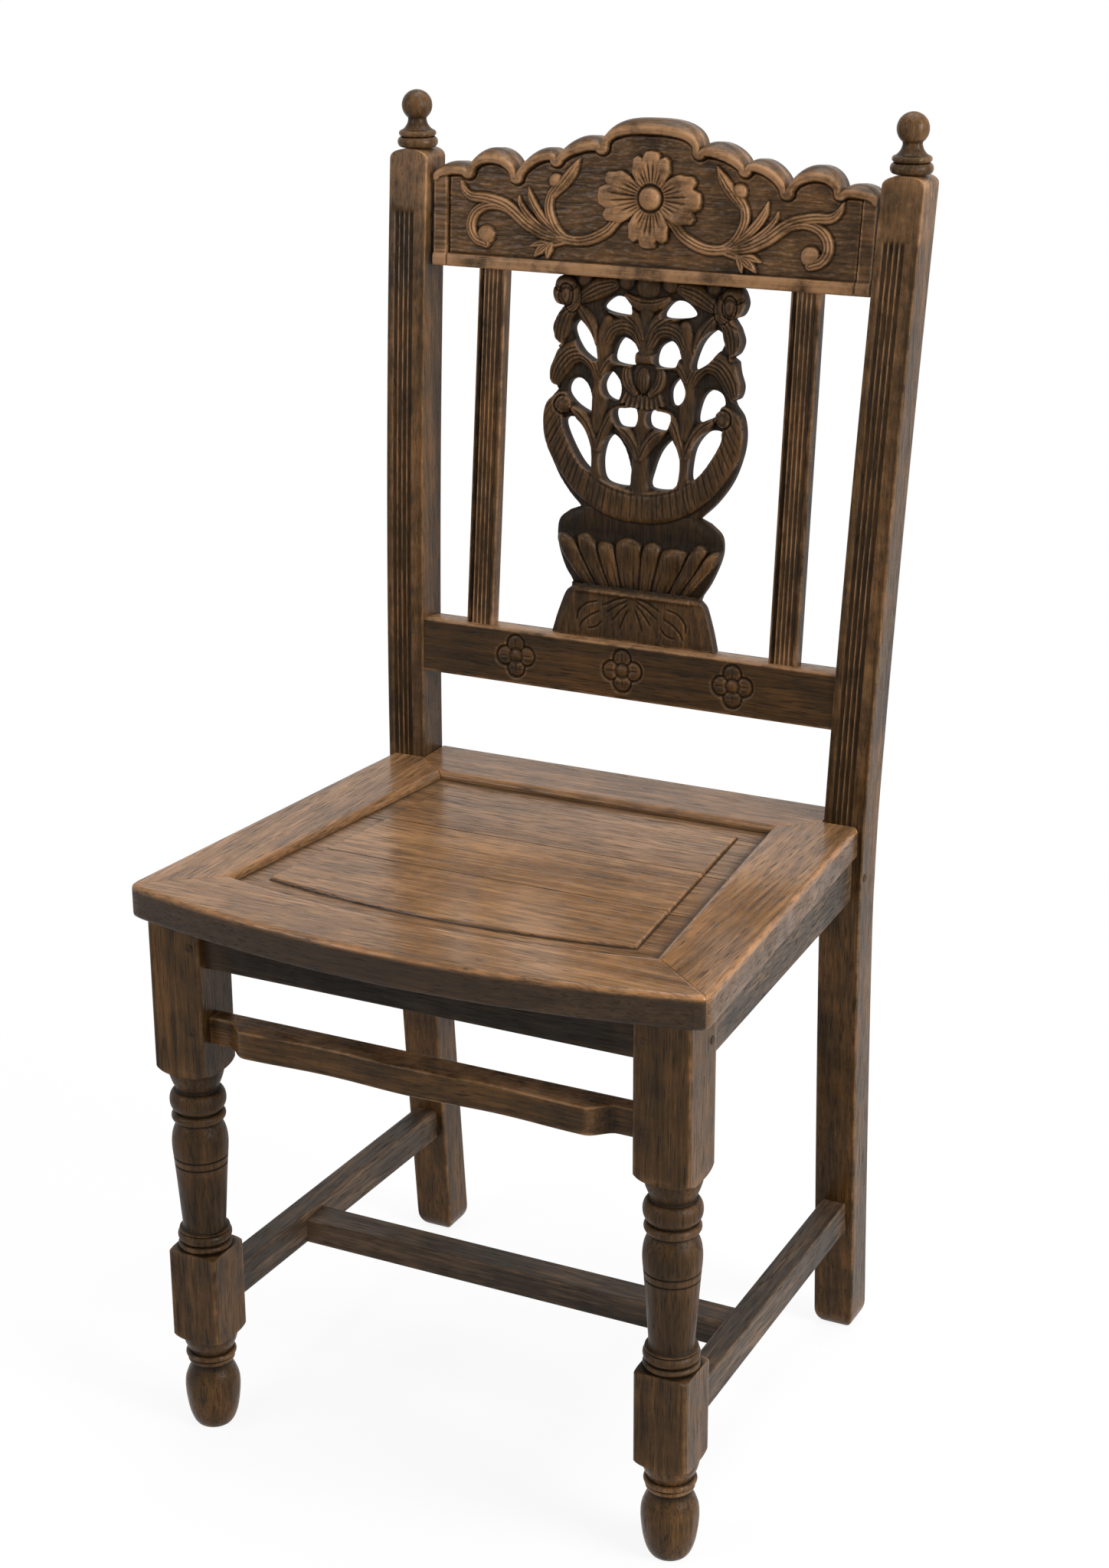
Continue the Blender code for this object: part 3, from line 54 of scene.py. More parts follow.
# %% Camera
CAMERA_PLACE = Vector((0.8978, -1.7354, 1.2057))
CAMERA_YAW = 0.46871
CAMERA_PITCH = 0.34174
CAMERA_ROLL = -0.00525
LENS_MM = 62.98


def make_camera():
    ahead = Vector((
        -math.sin(CAMERA_YAW) * math.cos(CAMERA_PITCH),
        math.cos(CAMERA_YAW) * math.cos(CAMERA_PITCH),
        -math.sin(CAMERA_PITCH),
    ))
    level = Vector((math.cos(CAMERA_YAW), math.sin(CAMERA_YAW), 0))
    upright = level.cross(ahead)
    right = level * math.cos(CAMERA_ROLL) + upright * math.sin(CAMERA_ROLL)
    up = upright * math.cos(CAMERA_ROLL) - level * math.sin(CAMERA_ROLL)
    data = bpy.data.cameras.new("camera")
    data.sensor_fit = "VERTICAL"
    data.sensor_height = 36
    data.lens = LENS_MM
    camera = bpy.data.objects.new("camera", data)
    scene.collection.objects.link(camera)
    turn = Matrix((right, up, -ahead)).transposed().to_4x4()
    camera.matrix_world = Matrix.Translation(CAMERA_PLACE) @ turn
    scene.camera = camera


make_camera()
print("camera at", tuple(round(v, 3) for v in CAMERA_PLACE))

# %% [markdown]
# ## Bench tools
# An operator works on whatever is selected, so each tool first picks its one piece. `editing` opens a piece in edit
# mode and closes it again; `modify` adds a modifier and applies it at once, so a piece is always finished mesh.

# %% Bench tools
MM = 0.001


def pick(piece):
    bpy.ops.object.select_all(action="DESELECT")
    piece.select_set(True)
    bpy.context.view_layer.objects.active = piece


@contextmanager
def editing(piece, mode="VERT"):
    pick(piece)
    bpy.ops.object.mode_set(mode="EDIT")
    bpy.ops.mesh.select_mode(type=mode)
    yield
    bpy.ops.object.mode_set(mode="OBJECT")


def modify(piece, kind, **settings):
    modifier = piece.modifiers.new(kind.lower(), kind)
    for key, value in settings.items():
        setattr(modifier, key, value)
    pick(piece)
    bpy.ops.object.modifier_apply(modifier=modifier.name)


def choose(piece, items, wanted):
    """Select, in object mode, the vertices, edges or faces of a piece that a test wants."""
    mesh = piece.data
    for group in (mesh.vertices, mesh.edges, mesh.polygons):
        group.foreach_set("select", [False] * len(group))
    group = getattr(mesh, items)
    group.foreach_set("select", [bool(wanted(item)) for item in group])


def new_piece(name, points, edges=(), faces=()):
    mesh = bpy.data.meshes.new(name)
    mesh.from_pydata(points, edges, faces)
    piece = bpy.data.objects.new(name, mesh)
    scene.collection.objects.link(piece)
    return piece


def close_up(piece, angle=38):
    """Merge doubled points, point the faces outwards and smooth all but the sharp edges."""
    with editing(piece):
        bpy.ops.mesh.select_all(action="SELECT")
        bpy.ops.mesh.remove_doubles(threshold=0.00001)
        bpy.ops.mesh.normals_make_consistent(inside=False)
    pick(piece)
    bpy.ops.object.shade_smooth_by_angle(angle=math.radians(angle))


def vertex_array(piece, key="co"):
    values = np.empty(len(piece.data.vertices) * 3)
    piece.data.vertices.foreach_get(key, values)
    return values.reshape(-1, 3)


def place_vertices(piece, points):
    piece.data.vertices.foreach_set("co", np.asarray(points, dtype=np.float64).ravel())
    piece.data.update()


print("bench tools ready")

# %% [markdown]
# ## Wear, painted highlights and painted shade
# Hands and dusters wear the high edges of old furniture pale, and wax and dust stay dark in the hollows. How sharply
# the surface bends at a point tells which it is: where neighbouring normals spread apart the wood stands proud, where
# they close it is hollow. Both go on the mesh as attributes that the finish reads, with a number for the board itself,
# so that two boards of one finish don't share one grain. Pieces may add painted highlights to the pale mark and
# painted shade to the dark one, where light or shade falls on them.

# %% Wear, painted highlights and painted shade
def bend(piece):
    """How far the surface bends at each point: positive on an edge that stands proud, negative in a hollow."""
    mesh = piece.data
    place, normal = vertex_array(piece), vertex_array(piece, "normal")
    ends = np.empty(len(mesh.edges) * 2, dtype=np.int64)
    mesh.edges.foreach_get("vertices", ends)
    a, b = ends.reshape(-1, 2).T
    step = place[b] - place[a]
    length = np.maximum(np.linalg.norm(step, axis=1), 1e-9)
    turn = ((normal[b] - normal[a]) * step).sum(1) / length
    count = len(place)
    meeting = np.maximum(np.bincount(a, minlength=count) + np.bincount(b, minlength=count), 1)

    def spread(values):
        return (np.bincount(a, values[b], count) + np.bincount(b, values[a], count)) / meeting

    amount = (np.bincount(a, turn, count) + np.bincount(b, turn, count)) / meeting
    return (amount + spread(amount)) / 2


def set_attribute(piece, name, values):
    layer = piece.data.attributes.new(name, "FLOAT", "POINT")
    layer.data.foreach_set("value", np.broadcast_to(values, len(piece.data.vertices)).astype(np.float32).copy())


boards_fitted = []


def fit(piece, finish, slot, *nodes, wear=1.0, rubbed_and_highlight=0.0, dirt=1.0, grime=0.0, board=None):
    """Mark a finished piece's wear, painted highlights, dirt and painted shade, give it its finish and let it stand for
    its CAD nodes. wear and dirt scale what is found at edges and in hollows; the two after them add pale rubbing with
    painted highlights, and dark dirt with painted shade; boards of one number share one grain."""
    amount = bend(piece) * 3.6
    set_attribute(piece, "worn", np.clip(np.clip(amount, 0, 1) * wear + rubbed_and_highlight, 0, 1))
    set_attribute(piece, "hollow", np.clip(np.clip(-amount, 0, 1) * dirt + grime, 0, 1))
    set_attribute(piece, "board", 0.37 * (len(boards_fitted) if board is None else board))
    piece.data.materials.clear()
    piece.data.materials.append(finish)
    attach(piece, "root")
    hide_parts(*nodes)
    boards_fitted.append(piece)
    print(f"{piece.name}: {sum(len(f.vertices) - 2 for f in piece.data.polygons)} triangles")


# %% [markdown]
# ## The oak
# One recipe gives every finish: broad figure, fine grain and open pores, all drawn out along the board, then darker
# wax in the hollows, with painted shade where a piece marks it, and pale rubbing on the edges, with painted highlights
# where a piece marks them. A small class wraps a shader socket, so that sums on sockets read as sums and each adds its
# Math node. Colours go through Mix nodes, because a Math node would turn them grey.

# %% Shader sums
class Wire:
    """A shader socket that can be added, multiplied and so on."""

    def __init__(self, tree, socket=None):
        self.tree = tree
        self.socket = socket

    def node(self, kind, settings=None, sockets=None, out=0):
        made = self.tree.nodes.new(kind)
        for key, value in (settings or {}).items():
            if key == "stops":
                ramp = made.color_ramp.elements
                while len(ramp) < len(value):
                    ramp.new(0.5)
                for element, (position, colour) in zip(ramp, value):
                    element.position = position
                    element.color = (*colour, 1)
            else:
                setattr(made, key, value)
        for key, value in (sockets or {}).items():
            if isinstance(value, Wire):
                self.tree.links.new(value.socket, made.inputs[key])
            else:
                made.inputs[key].default_value = value
        return Wire(self.tree, made.outputs[out])

    def math(self, operation, first, second=0.0):
        return self.node("ShaderNodeMath", {"operation": operation}, {0: first, 1: second})

    def __add__(self, other):
        return self.math("ADD", self, other)

    __radd__ = __add__

    def __sub__(self, other):
        return self.math("SUBTRACT", self, other)

    def __rsub__(self, other):
        return self.math("SUBTRACT", other, self)

    def __mul__(self, other):
        return self.math("MULTIPLY", self, other)

    __rmul__ = __mul__

    def clamped(self, low, high):
        """How far the value has come from low to high, between 0 and 1."""
        sockets = {"Value": self, "From Min": low, "From Max": high}
        return self.node("ShaderNodeMapRange", {"interpolation_type": "SMOOTHSTEP"}, sockets)

    def mixed(self, first, second):
        """Colours mixed by this value."""
        return self.node("ShaderNodeMix", {"data_type": "RGBA"}, {0: self, 6: first, 7: second}, out=2)


print("sockets can now be added, taken away and multiplied, clamped and used to mix colours")

# %% Oak
def linear(red, green, blue):
    """A colour as a picture shows it, 0 to 255, in the linear values that a shader takes."""
    return tuple((v / 255 / 12.92 if v < 10.3 else ((v / 255 + 0.055) / 1.055) ** 2.4) for v in (red, green, blue))


GRAIN_STRETCH = 0.045


def oak(name, along, dark, middle, light, rubbed_and_highlight, grime, mottle, roughness, gloss):
    """Waxed oak with its grain along X, Y or Z."""
    material = bpy.data.materials.new(f"{name}_{along}")
    material.use_nodes = True
    tree = material.node_tree
    shader = tree.nodes["Principled BSDF"]
    start = Wire(tree)
    place = start.node("ShaderNodeTexCoord", out=3)
    board = start.node("ShaderNodeAttribute", {"attribute_name": "board"}, out=2)
    worn = start.node("ShaderNodeAttribute", {"attribute_name": "worn"}, out=2)
    hollow = start.node("ShaderNodeAttribute", {"attribute_name": "hollow"}, out=2)
    shift = start.node("ShaderNodeCombineXYZ", {}, {0: board, 1: board * 1.7, 2: board * 2.3})
    own = start.node("ShaderNodeVectorMath", {"operation": "ADD"}, {0: place, 1: shift})
    stretch = tuple(GRAIN_STRETCH if axis == along else 1 for axis in "XYZ")
    drawn = start.node("ShaderNodeMapping", {}, {"Vector": own, "Scale": stretch})

    def field(vector, scale, detail, rough=0.5, twist=0.0):
        sockets = {"Vector": vector, "Scale": scale, "Detail": detail, "Roughness": rough, "Distortion": twist}
        return start.node("ShaderNodeTexNoise", {}, sockets)

    figure = field(drawn, 95, 3, 0.6, 0.5)
    grain = field(drawn, 420, 3, 0.65)
    pores = field(drawn, 1050, 1, 0.5).clamped(0.54, 0.68)
    cloud = field(own, 13, 3, 0.6)
    stain = field(own, 46, 4, 0.65)
    tone = figure * 0.44 + grain * (0.62 - mottle) + cloud * 0.34 + stain * mottle - 0.20
    stops = ((0.34, dark), (0.50, middle), (0.66, light))
    wood = start.node("ShaderNodeValToRGB", {"stops": stops}, {0: tone})
    wood = (pores * 0.68).mixed(wood, (*grime, 1))
    # Pale rubbing on the edges, with painted highlights where a piece marks them
    rub_and_highlight = (worn * (stain * 2.4 + grain * 0.6 - 0.85)).clamped(0.02, 0.85)
    wood = (rub_and_highlight * 0.8).mixed(wood, (*rubbed_and_highlight, 1))
    # Dark wax and dust in the hollows, with painted shade where a piece marks it
    dirt = (hollow * (stain * 0.8 + 0.65)).clamped(0.05, 0.85)
    wood = (dirt * 0.85).mixed(wood, (*grime, 1))
    rough = (roughness + (stain - 0.5) * 0.22 + pores * 0.12 + dirt * 0.2 - rub_and_highlight * 0.05).clamped(0.0, 1.0)
    height = grain * 0.5 - pores * 0.6 + figure * 0.3
    bump = start.node("ShaderNodeBump", {}, {"Strength": 0.35, "Distance": 0.0007, "Height": height})
    tree.links.new(wood.socket, shader.inputs["Base Color"])
    tree.links.new(rough.socket, shader.inputs["Roughness"])
    tree.links.new(bump.socket, shader.inputs["Normal"])
    shader.inputs["Specular IOR Level"].default_value = gloss
    return material


# In each finish the pale colour serves for rubbing and painted highlights, the dark one for pores, dirt and painted
# shade
FINISHES = {
    "oak_dark": dict(
        dark=linear(36, 25, 13), middle=linear(66, 46, 24), light=linear(96, 65, 34),
        rubbed_and_highlight=linear(150, 112, 78), grime=linear(15, 11, 6), mottle=0.22, roughness=0.34, gloss=0.11,
    ),
    "oak_seat": dict(
        dark=linear(77, 56, 37), middle=linear(114, 83, 55), light=linear(146, 109, 74),
        rubbed_and_highlight=linear(152, 106, 66), grime=linear(19, 13, 6), mottle=0.10, roughness=0.25, gloss=0.18,
    ),
    "oak_plain": dict(
        dark=linear(28, 23, 18), middle=linear(57, 46, 36), light=linear(92, 72, 54),
        rubbed_and_highlight=linear(116, 90, 67), grime=linear(15, 12, 9), mottle=0.16, roughness=0.45, gloss=0.13,
    ),
    "oak_pegs": dict(
        dark=linear(28, 20, 12), middle=linear(42, 30, 18), light=linear(58, 41, 25),
        rubbed_and_highlight=linear(72, 52, 34), grime=linear(18, 13, 8), mottle=0.2, roughness=0.5, gloss=0.12,
    ),
}
oaks = {(slot, along): oak(slot, along, **look) for slot, look in FINISHES.items() for along in "XYZ"}
print("finishes:", len(oaks))

# %% [markdown]
# ## Turned front legs
# A turner leaves the leg square where rails enter it and turns the rest. So does this: a profile is spun round the
# leg's axis, wider than the wood in the square blocks, and what lies outside a square blank is cut off by a boolean.
# The blank has softened corners, as the plane leaves them.

# %% Turning
def bead(low, high, root, crown, steps=8):
    """A round moulding of (height, radius) points."""
    turns = np.linspace(0, math.pi, steps + 1)
    return [(low + (high - low) * (1 - math.cos(t)) / 2, root + (crown - root) * math.sin(t)) for t in turns]


def curved(points, steps):
    """A smooth open curve through given points of any number of values."""
    points = np.asarray(points, dtype=float)
    padded = np.vstack((2 * points[0] - points[1], points, 2 * points[-1] - points[-2]))
    share = np.linspace(0, 1, steps, endpoint=False)[:, None]
    parts = []
    for p, q, r, t in zip(padded, padded[1:], padded[2:], padded[3:]):
        square = (2 * p - 5 * q + 4 * r - t) * share**2
        cube = (3 * q - p - 3 * r + t) * share**3
        parts.append((2 * q + (r - p) * share + square + cube) / 2)
    return np.vstack((*parts, points[-1]))


def lathe(name, profile, axis, steps=72):
    """Spin a profile of (height, radius) points about an upright axis."""
    points = [(axis[0] + radius, axis[1], height) for height, radius in profile]
    piece = new_piece(name, points, [(i, i + 1) for i in range(len(points) - 1)])
    with editing(piece):
        bpy.ops.mesh.select_all(action="SELECT")
        bpy.ops.mesh.spin(steps=steps, angle=2 * math.pi, center=(axis[0], axis[1], 0), axis=(0, 0, 1))
    close_up(piece, 50)
    return piece


LEG_TOP = 433.7
LEG_ROUND = 21.6
LEG_CORNER = 33.0
LEG_AXIS = (0.1984, -0.17385)
# Height and radius, in mm: the foot, its collar, and the rings and swell between the two blocks
FOOT = ((0, 13.2), (1.2, 14.6), (5, 16.8), (11, 18.8), (18, 20.2), (26, 21.2), (34, 21.6), (41, 20.9), (48, 18.4))
FOOT_NECK = ((50.5, 16.8), (53.5, 16.0), (56.0, 16.0))
SHAFT = (
    (174.0, 17.0), (177.0, 16.7), (190.0, 17.6), (205.0, 18.6), (218.0, 19.5), (232.0, 20.6), (243.0, 21.5),
    (250.0, 21.4), (256.0, 20.4), (261.0, 18.6), (264.6, 17.0),
)
SCRIBES = (229.0, 235.5)


def shoulder(start, end, steps=12):
    """The rounded shoulder where round meets square, from the round out past the wood's corner."""
    turns = np.linspace(0, math.pi / 2, steps + 1)
    return [
        (start + (end - start) * (1 - math.cos(t)), LEG_ROUND + (LEG_CORNER - LEG_ROUND) * math.sin(t)) for t in turns
    ]


def scribed(shaft):
    """Cut the fine scribed lines into a profile."""
    lines = [(z + shift, cut) for z in SCRIBES for shift, cut in ((-0.8, 0), (-0.35, 0.7), (0.35, 0.7), (0.8, 0))]
    heights, radii = zip(*shaft)
    kept = [p for p in shaft if min(abs(p[0] - z) for z in SCRIBES) > 1.0]
    kept += [(z, float(np.interp(z, heights, radii)) - cut) for z, cut in lines]
    return sorted(kept)


def leg_profile():
    profile = [tuple(p) for p in curved(FOOT, 4)]
    profile += FOOT_NECK
    profile += bead(56.5, 60.5, 16.4, 18.4, 6)
    profile += bead(60.8, 66.0, 16.8, 19.8, 8)
    profile += [(66.8, 17.2), (67.6, 17.2), (70.0, 18.6), (74.0, 20.2), (78.0, 21.2), (79.5, 21.3)]
    profile += shoulder(80.0, 95.0)
    profile += shoulder(157.0, 148.0)[::-1]
    profile += bead(157.3, 162.8, 17.6, 20.9)
    profile += bead(163.4, 171.8, 17.6, 20.9, 10)
    profile += [(172.3, 19.6), (173.2, 19.4), (173.5, 17.6)]
    profile += scribed([tuple(p) for p in curved(SHAFT, 4)])
    profile += bead(265.4, 273.2, 17.0, 20.8, 10)
    profile += bead(274.4, 291.0, 16.8, 21.6, 14)
    profile += [(291.4, 16.6), (293.0, 16.6), (295.0, 17.4), (298.0, 18.6), (301.5, 19.9), (305.0, 20.9), (308.0, 21.5)]
    profile += shoulder(308.7, 323.7)
    profile += [(LEG_TOP, LEG_CORNER)]
    return [(0, 0)] + [(z * MM, r * MM) for z, r in profile] + [(LEG_TOP * MM, 0)]


print("leg profile:", len(leg_profile()), "points, from the floor up to", LEG_TOP, "mm")

# %% [markdown]
# ### Skinning
# A grid primitive is a sheet of rows and columns. Wrapped round a stack of sections, with its seam merged and its ends
# filled, it becomes a bar of any section: here the square blank, later the posts, slats and rails.

# %% Skinning and the square blank
def skinned(name, rings):
    """A grid primitive wrapped round a stack of closed rings of points, and capped at both ends."""
    rings = np.asarray(rings, dtype=float)
    rings = np.concatenate((rings, rings[:, :1]), axis=1)
    rows, columns = rings.shape[:2]
    bpy.ops.object.select_all(action="DESELECT")
    bpy.ops.mesh.primitive_grid_add(x_subdivisions=columns - 1, y_subdivisions=rows - 1)
    piece = bpy.context.active_object
    piece.name = piece.data.name = name
    place_vertices(piece, rings.reshape(-1, 3))
    with editing(piece):
        bpy.ops.mesh.select_all(action="SELECT")
        bpy.ops.mesh.remove_doubles(threshold=0.000001)
        bpy.ops.mesh.fill_holes(sides=0)
    close_up(piece)
    return piece


def square_section(half, soft):
    """A square with rounded corners, with points close beside each corner so that wear stays there."""
    flat = half - soft
    quarter = [(half, y) for y in (0, flat - 5, flat - 2.4, flat - 0.8)]
    quarter += [(flat + soft * math.cos(t), flat + soft * math.sin(t)) for t in np.linspace(0, math.pi / 2, 5)]
    quarter += [(x, half) for x in (flat - 0.8, flat - 2.4, flat - 5)]
    section = []
    for cos, sin in ((1, 0), (0, 1), (-1, 0), (0, -1)):
        section += [(x * cos - y * sin, x * sin + y * cos) for x, y in quarter]
    return np.array(section)


def square_blank(name, centre, low, high, size, soft):
    """A square post of the size given in mm, from one height to another."""
    section = square_section(size / 2, soft)
    rings = []
    for height in np.linspace(low, high, int((high - low) / 5)):
        rings.append([(centre[0] + x * MM, centre[1] + y * MM, height * MM) for x, y in section])
    return skinned(name, rings)


# Low and high end, size and rounding of the two square blocks, in mm; the turned stretch between them, in metres
UPPER_BLOCK, LOWER_BLOCK = (160, 452, 44, 2.2), (-10, 171, 42, 2.8)
TURNED_FROM, TURNED_TO = 0.158, 0.306


def make_leg(label, side):
    axis = (side * LEG_AXIS[0], LEG_AXIS[1])
    leg = lathe(f"turned_leg_{label}", leg_profile(), axis)
    blank = square_blank("blank", axis, *UPPER_BLOCK)
    lower = square_blank("lower_blank", axis, *LOWER_BLOCK)
    modify(blank, "BOOLEAN", operation="UNION", solver="EXACT", object=lower)
    modify(leg, "BOOLEAN", operation="INTERSECT", solver="EXACT", object=blank)
    for used in (blank, lower):
        bpy.data.objects.remove(used, do_unlink=True)
    close_up(leg, 40)
    height = vertex_array(leg)[:, 2]
    turned = (height > TURNED_FROM) & (height < TURNED_TO)
    # Darker all over, and more on the turned stretch under the seat: painted shade there
    fit(leg, oaks["oak_dark", "Z"], "oak_dark", f"front_leg_{label}", wear=0.45, grime=np.where(turned, 0.42, 0.10))


SIDES = (("left", -1), ("right", 1))
for label, side in SIDES:
    make_leg(label, side)

# %% [markdown]
# ## Finials
# The ball finials are small turnings too: two rings, a neck and a ball, spun like the legs.

# %% Finials
FINIAL_PLACE = (0.20807, 0.2129, 0.9513)


def make_finial(label, side):
    ball, neck, neck_top = 12.2, 7.5, 23.0
    middle = neck_top + math.sqrt(ball**2 - neck**2)
    profile = bead(0.0, 8.2, 13.0, 16.2, 12)
    profile += bead(8.4, 13.4, 12.4, 15.0, 10)
    hollow = ((14.0, 11.6), (15.4, 10.2), (18.0, 8.4), (21.0, neck), (neck_top, neck))
    profile += [tuple(p) for p in curved(hollow, 3)]
    for turn in np.linspace(math.asin(neck / ball), math.pi, 22)[1:-1]:
        profile.append((middle - ball * math.cos(turn), ball * math.sin(turn)))
    profile = [(0, 0)] + profile + [(middle + ball, 0)]
    height = FINIAL_PLACE[2]
    axis = (side * FINIAL_PLACE[0], FINIAL_PLACE[1])
    finial = lathe(f"turned_finial_{label}", [(height + z * MM, r * MM) for z, r in profile], axis, 48)
    fit(finial, oaks["oak_dark", "Z"], "oak_dark", f"finial_{label}", wear=0.5, grime=0.22)


for label, side in SIDES:
    make_finial(label, side)

# %% [markdown]
# ## Back posts
# Each post is one long piece that rakes back and splays out, so it is skinned over a stack of sections. The section
# carries the flutes that the moulding plane ran down the front, and their depth fades in over a few rows at the stop
# near the top.

# %% Post section
def reeded_section(width, depth, soft, flutes, cut):
    """A board's section, front at y = 0, as (x, y, flute depth) in mm. flutes is (middle, width, number)."""
    half = width / 2
    middle, run, number = flutes
    front = [(-half + soft + 1, 0.0, 0.0), (-half + soft + 2.6, 0.0, 0.0)]
    for x in np.linspace(middle - run / 2, middle + run / 2, 9 * number + 1):
        place = (x - middle + run / 2) / run * number
        front.append((x, 0.0, cut * abs(math.sin(math.pi * place)) ** 0.7))
    front += [(half - soft - 2.6, 0.0, 0.0), (half - soft - 1, 0.0, 0.0)]
    turns = np.radians((0, 22, 45, 68, 90))
    section = list(front)
    section += [(half - soft + soft * math.sin(t), soft - soft * math.cos(t), 0.0) for t in turns]
    section += [(half, y, 0.0) for y in (soft + 1, soft + 3, depth - soft - 3, depth - soft - 1)]
    section += [(half - soft + soft * math.cos(t), depth - soft + soft * math.sin(t), 0.0) for t in turns]
    rest = half - soft
    section += [(x, depth, 0.0) for x in (rest - 1, rest - 3, 3 - rest, 1 - rest)]
    section += [(-half + soft - soft * math.sin(t), depth - soft + soft * math.cos(t), 0.0) for t in turns]
    section += [(-half, y, 0.0) for y in (depth - soft - 1, depth - soft - 3, soft + 3, soft + 1)]
    section += [(-half + soft - soft * math.cos(t), soft - soft * math.sin(t), 0.0) for t in turns]
    return np.array(section)


print("a section with one flute:", len(reeded_section(40, 30, 2, (0, 10, 1), 3)), "points")

# %% Posts
KNEE, KNEE_FRONT, POST_TOP = 0.385, 0.14715, 0.951
POST_WIDTH, POST_DEPTH = 34, 32
FLUTES, FLUTE_CUT, FLUTES_TOP = (-2.6, 17.5, 4), 1.5, 0.905
# How high the rounded foot reaches and how far it draws in across and along; where the rounded head starts
FOOT_HIGH, FOOT_ACROSS, FOOT_ALONG = 0.015, 0.011, 0.010
HEAD_START, HEAD_HIGH = 0.943, 0.008


def post_front(z):
    """Y of the front of a post: behind the knee it sweeps back to the foot and to the top."""
    if z < KNEE:
        return KNEE_FRONT + 0.0257 * ((KNEE - z) / KNEE) ** 1.22
    return KNEE_FRONT + 0.0497 * ((z - KNEE) / (POST_TOP - KNEE)) ** 1.5


def post_centre(z):
    """X of the middle of a post, which splays more above the seat than below it."""
    seat, place = 0.46, 0.1953
    return place + (0.026 if z > seat else 0.009) * (z - seat)


def make_post(label, side):
    section = reeded_section(POST_WIDTH, POST_DEPTH, 1.6, FLUTES, FLUTE_CUT) * MM
    half_width, half_depth = POST_WIDTH / 2 * MM, POST_DEPTH / 2 * MM
    heights = list(np.linspace(0.020, 0.452, 34)) + list(np.linspace(0.464, 0.899, 50))
    heights += [0.9015, 0.9035, FLUTES_TOP, 0.9075, 0.912, 0.925, 0.936, HEAD_START]
    trims = []
    for turn in np.linspace(math.pi / 2, 0, 8):
        drawn_in = 1 - math.cos(turn)
        trims.append((FOOT_HIGH * (1 - math.sin(turn)), FOOT_ACROSS * drawn_in, FOOT_ALONG * drawn_in))
    trims += [(z, 0.0, 0.0) for z in heights]
    for turn in np.linspace(0.12, 1.36, 11):
        drawn_in = half_width * (1 - math.cos(turn) ** 0.85)
        trims.append((HEAD_START + HEAD_HIGH * math.sin(turn) ** 0.85, drawn_in, 0.0))
    rings = []
    for z, trim_x, trim_y in trims:
        shrink_x, shrink_y = 1 - trim_x / half_width, 1 - trim_y / half_depth
        fade = np.clip((FLUTES_TOP - z) / 0.004, 0, 1) * np.clip((z - 0.45) / 0.01, 0, 1)
        ring = np.empty((len(section), 3))
        ring[:, 0] = side * post_centre(z) + section[:, 0] * shrink_x
        ring[:, 1] = post_front(z) + half_depth + (section[:, 1] - half_depth) * shrink_y + section[:, 2] * fade
        ring[:, 2] = z
        rings.append(ring)
    post = skinned(f"fluted_post_{label}", rings)
    handled = 0.38 * np.clip((vertex_array(post)[:, 2] - 0.896) / 0.02, 0, 1)
    fit(post, oaks["oak_dark", "Z"], "oak_dark", f"rear_post_{label}", wear=0.6, rubbed_and_highlight=handled)


for label, side in SIDES:
    make_post(label, side)

# %% [markdown]
# ## The sloping back
# Crest, splat, slats and lower rail share one sloping plane, their rear faces. It is read from the CAD lower rail, and
# points of the back are then given as across, in front of that plane, and up the slope, in mm, like a drawing laid on
# it.

# %% The plane of the back
def measure_back():
    corners = [v.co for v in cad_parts["lower_back_rail"].data.vertices if abs(v.co.x) < 0.19]
    foot = min(corners, key=lambda p: p.z)
    head = max(corners, key=lambda p: p.y)
    return foot.copy(), math.atan2(head.y - foot.y, head.z - foot.z)


BACK_FOOT, BACK_TILT = measure_back()


def on_back(across, front, rise):
    """Points in metres from mm across, in front of the rear plane and up the slope."""
    cos, sin = math.cos(BACK_TILT), math.sin(BACK_TILT)
    across, front, rise = np.broadcast_arrays(across, front, rise)
    y = BACK_FOOT.y + MM * (rise * sin - front * cos)
    z = BACK_FOOT.z + MM * (rise * cos + front * sin)
    return np.stack((across * MM, y, z), axis=-1)


CREST_LOW, RAIL_LOW, RAIL_HIGH = 859.5, 530.5, 44.0
CREST_FOOT = (CREST_LOW - RAIL_LOW) / math.cos(BACK_TILT)
RAIL_TOP = RAIL_HIGH / math.cos(BACK_TILT)
print("back leans", round(math.degrees(BACK_TILT), 2), "degrees")

# %% [markdown]
# ## Slats
# Two reeded slats stand between the lower rail and the crest. They have the posts' kind of section, with five reeds,
# and run straight up the slope, so the section is only carried along it.

# %% Slats
SLAT_PLACE, SLAT_FRONT = 133.5, 18.5


def make_slat(label, side):
    section = reeded_section(24, 11, 1.2, (-1.0, 18.5, 5), 1.1)
    rings = []
    for rise in np.linspace(RAIL_TOP - 2, CREST_FOOT + 2, 40):
        front = SLAT_FRONT - section[:, 1] - section[:, 2]
        rings.append(on_back(side * SLAT_PLACE + section[:, 0], front, rise))
    slat = skinned(f"reeded_slat_{label}", rings)
    fit(slat, oaks["oak_dark", "Z"], "oak_dark", f"back_slat_{label}", wear=0.8, rubbed_and_highlight=0.13, dirt=0.8)


for label, side in SIDES:
    make_slat(label, side)

# %% [markdown]
# ## Carving tools
# A carver saws the outline, pierces it, sinks the ground and shapes what is left standing. Here the front of a board is
# a close sheet of triangles that keeps the sawn lines exactly, and the carving is a height for each of its points, in
# mm in front of the rear plane. A stroke is one pass along a smooth line: a rounded ridge with a width of its own at
# every point, and with fine reed lines cut along it. The higher of two passes wins, as one leaf lies over another.

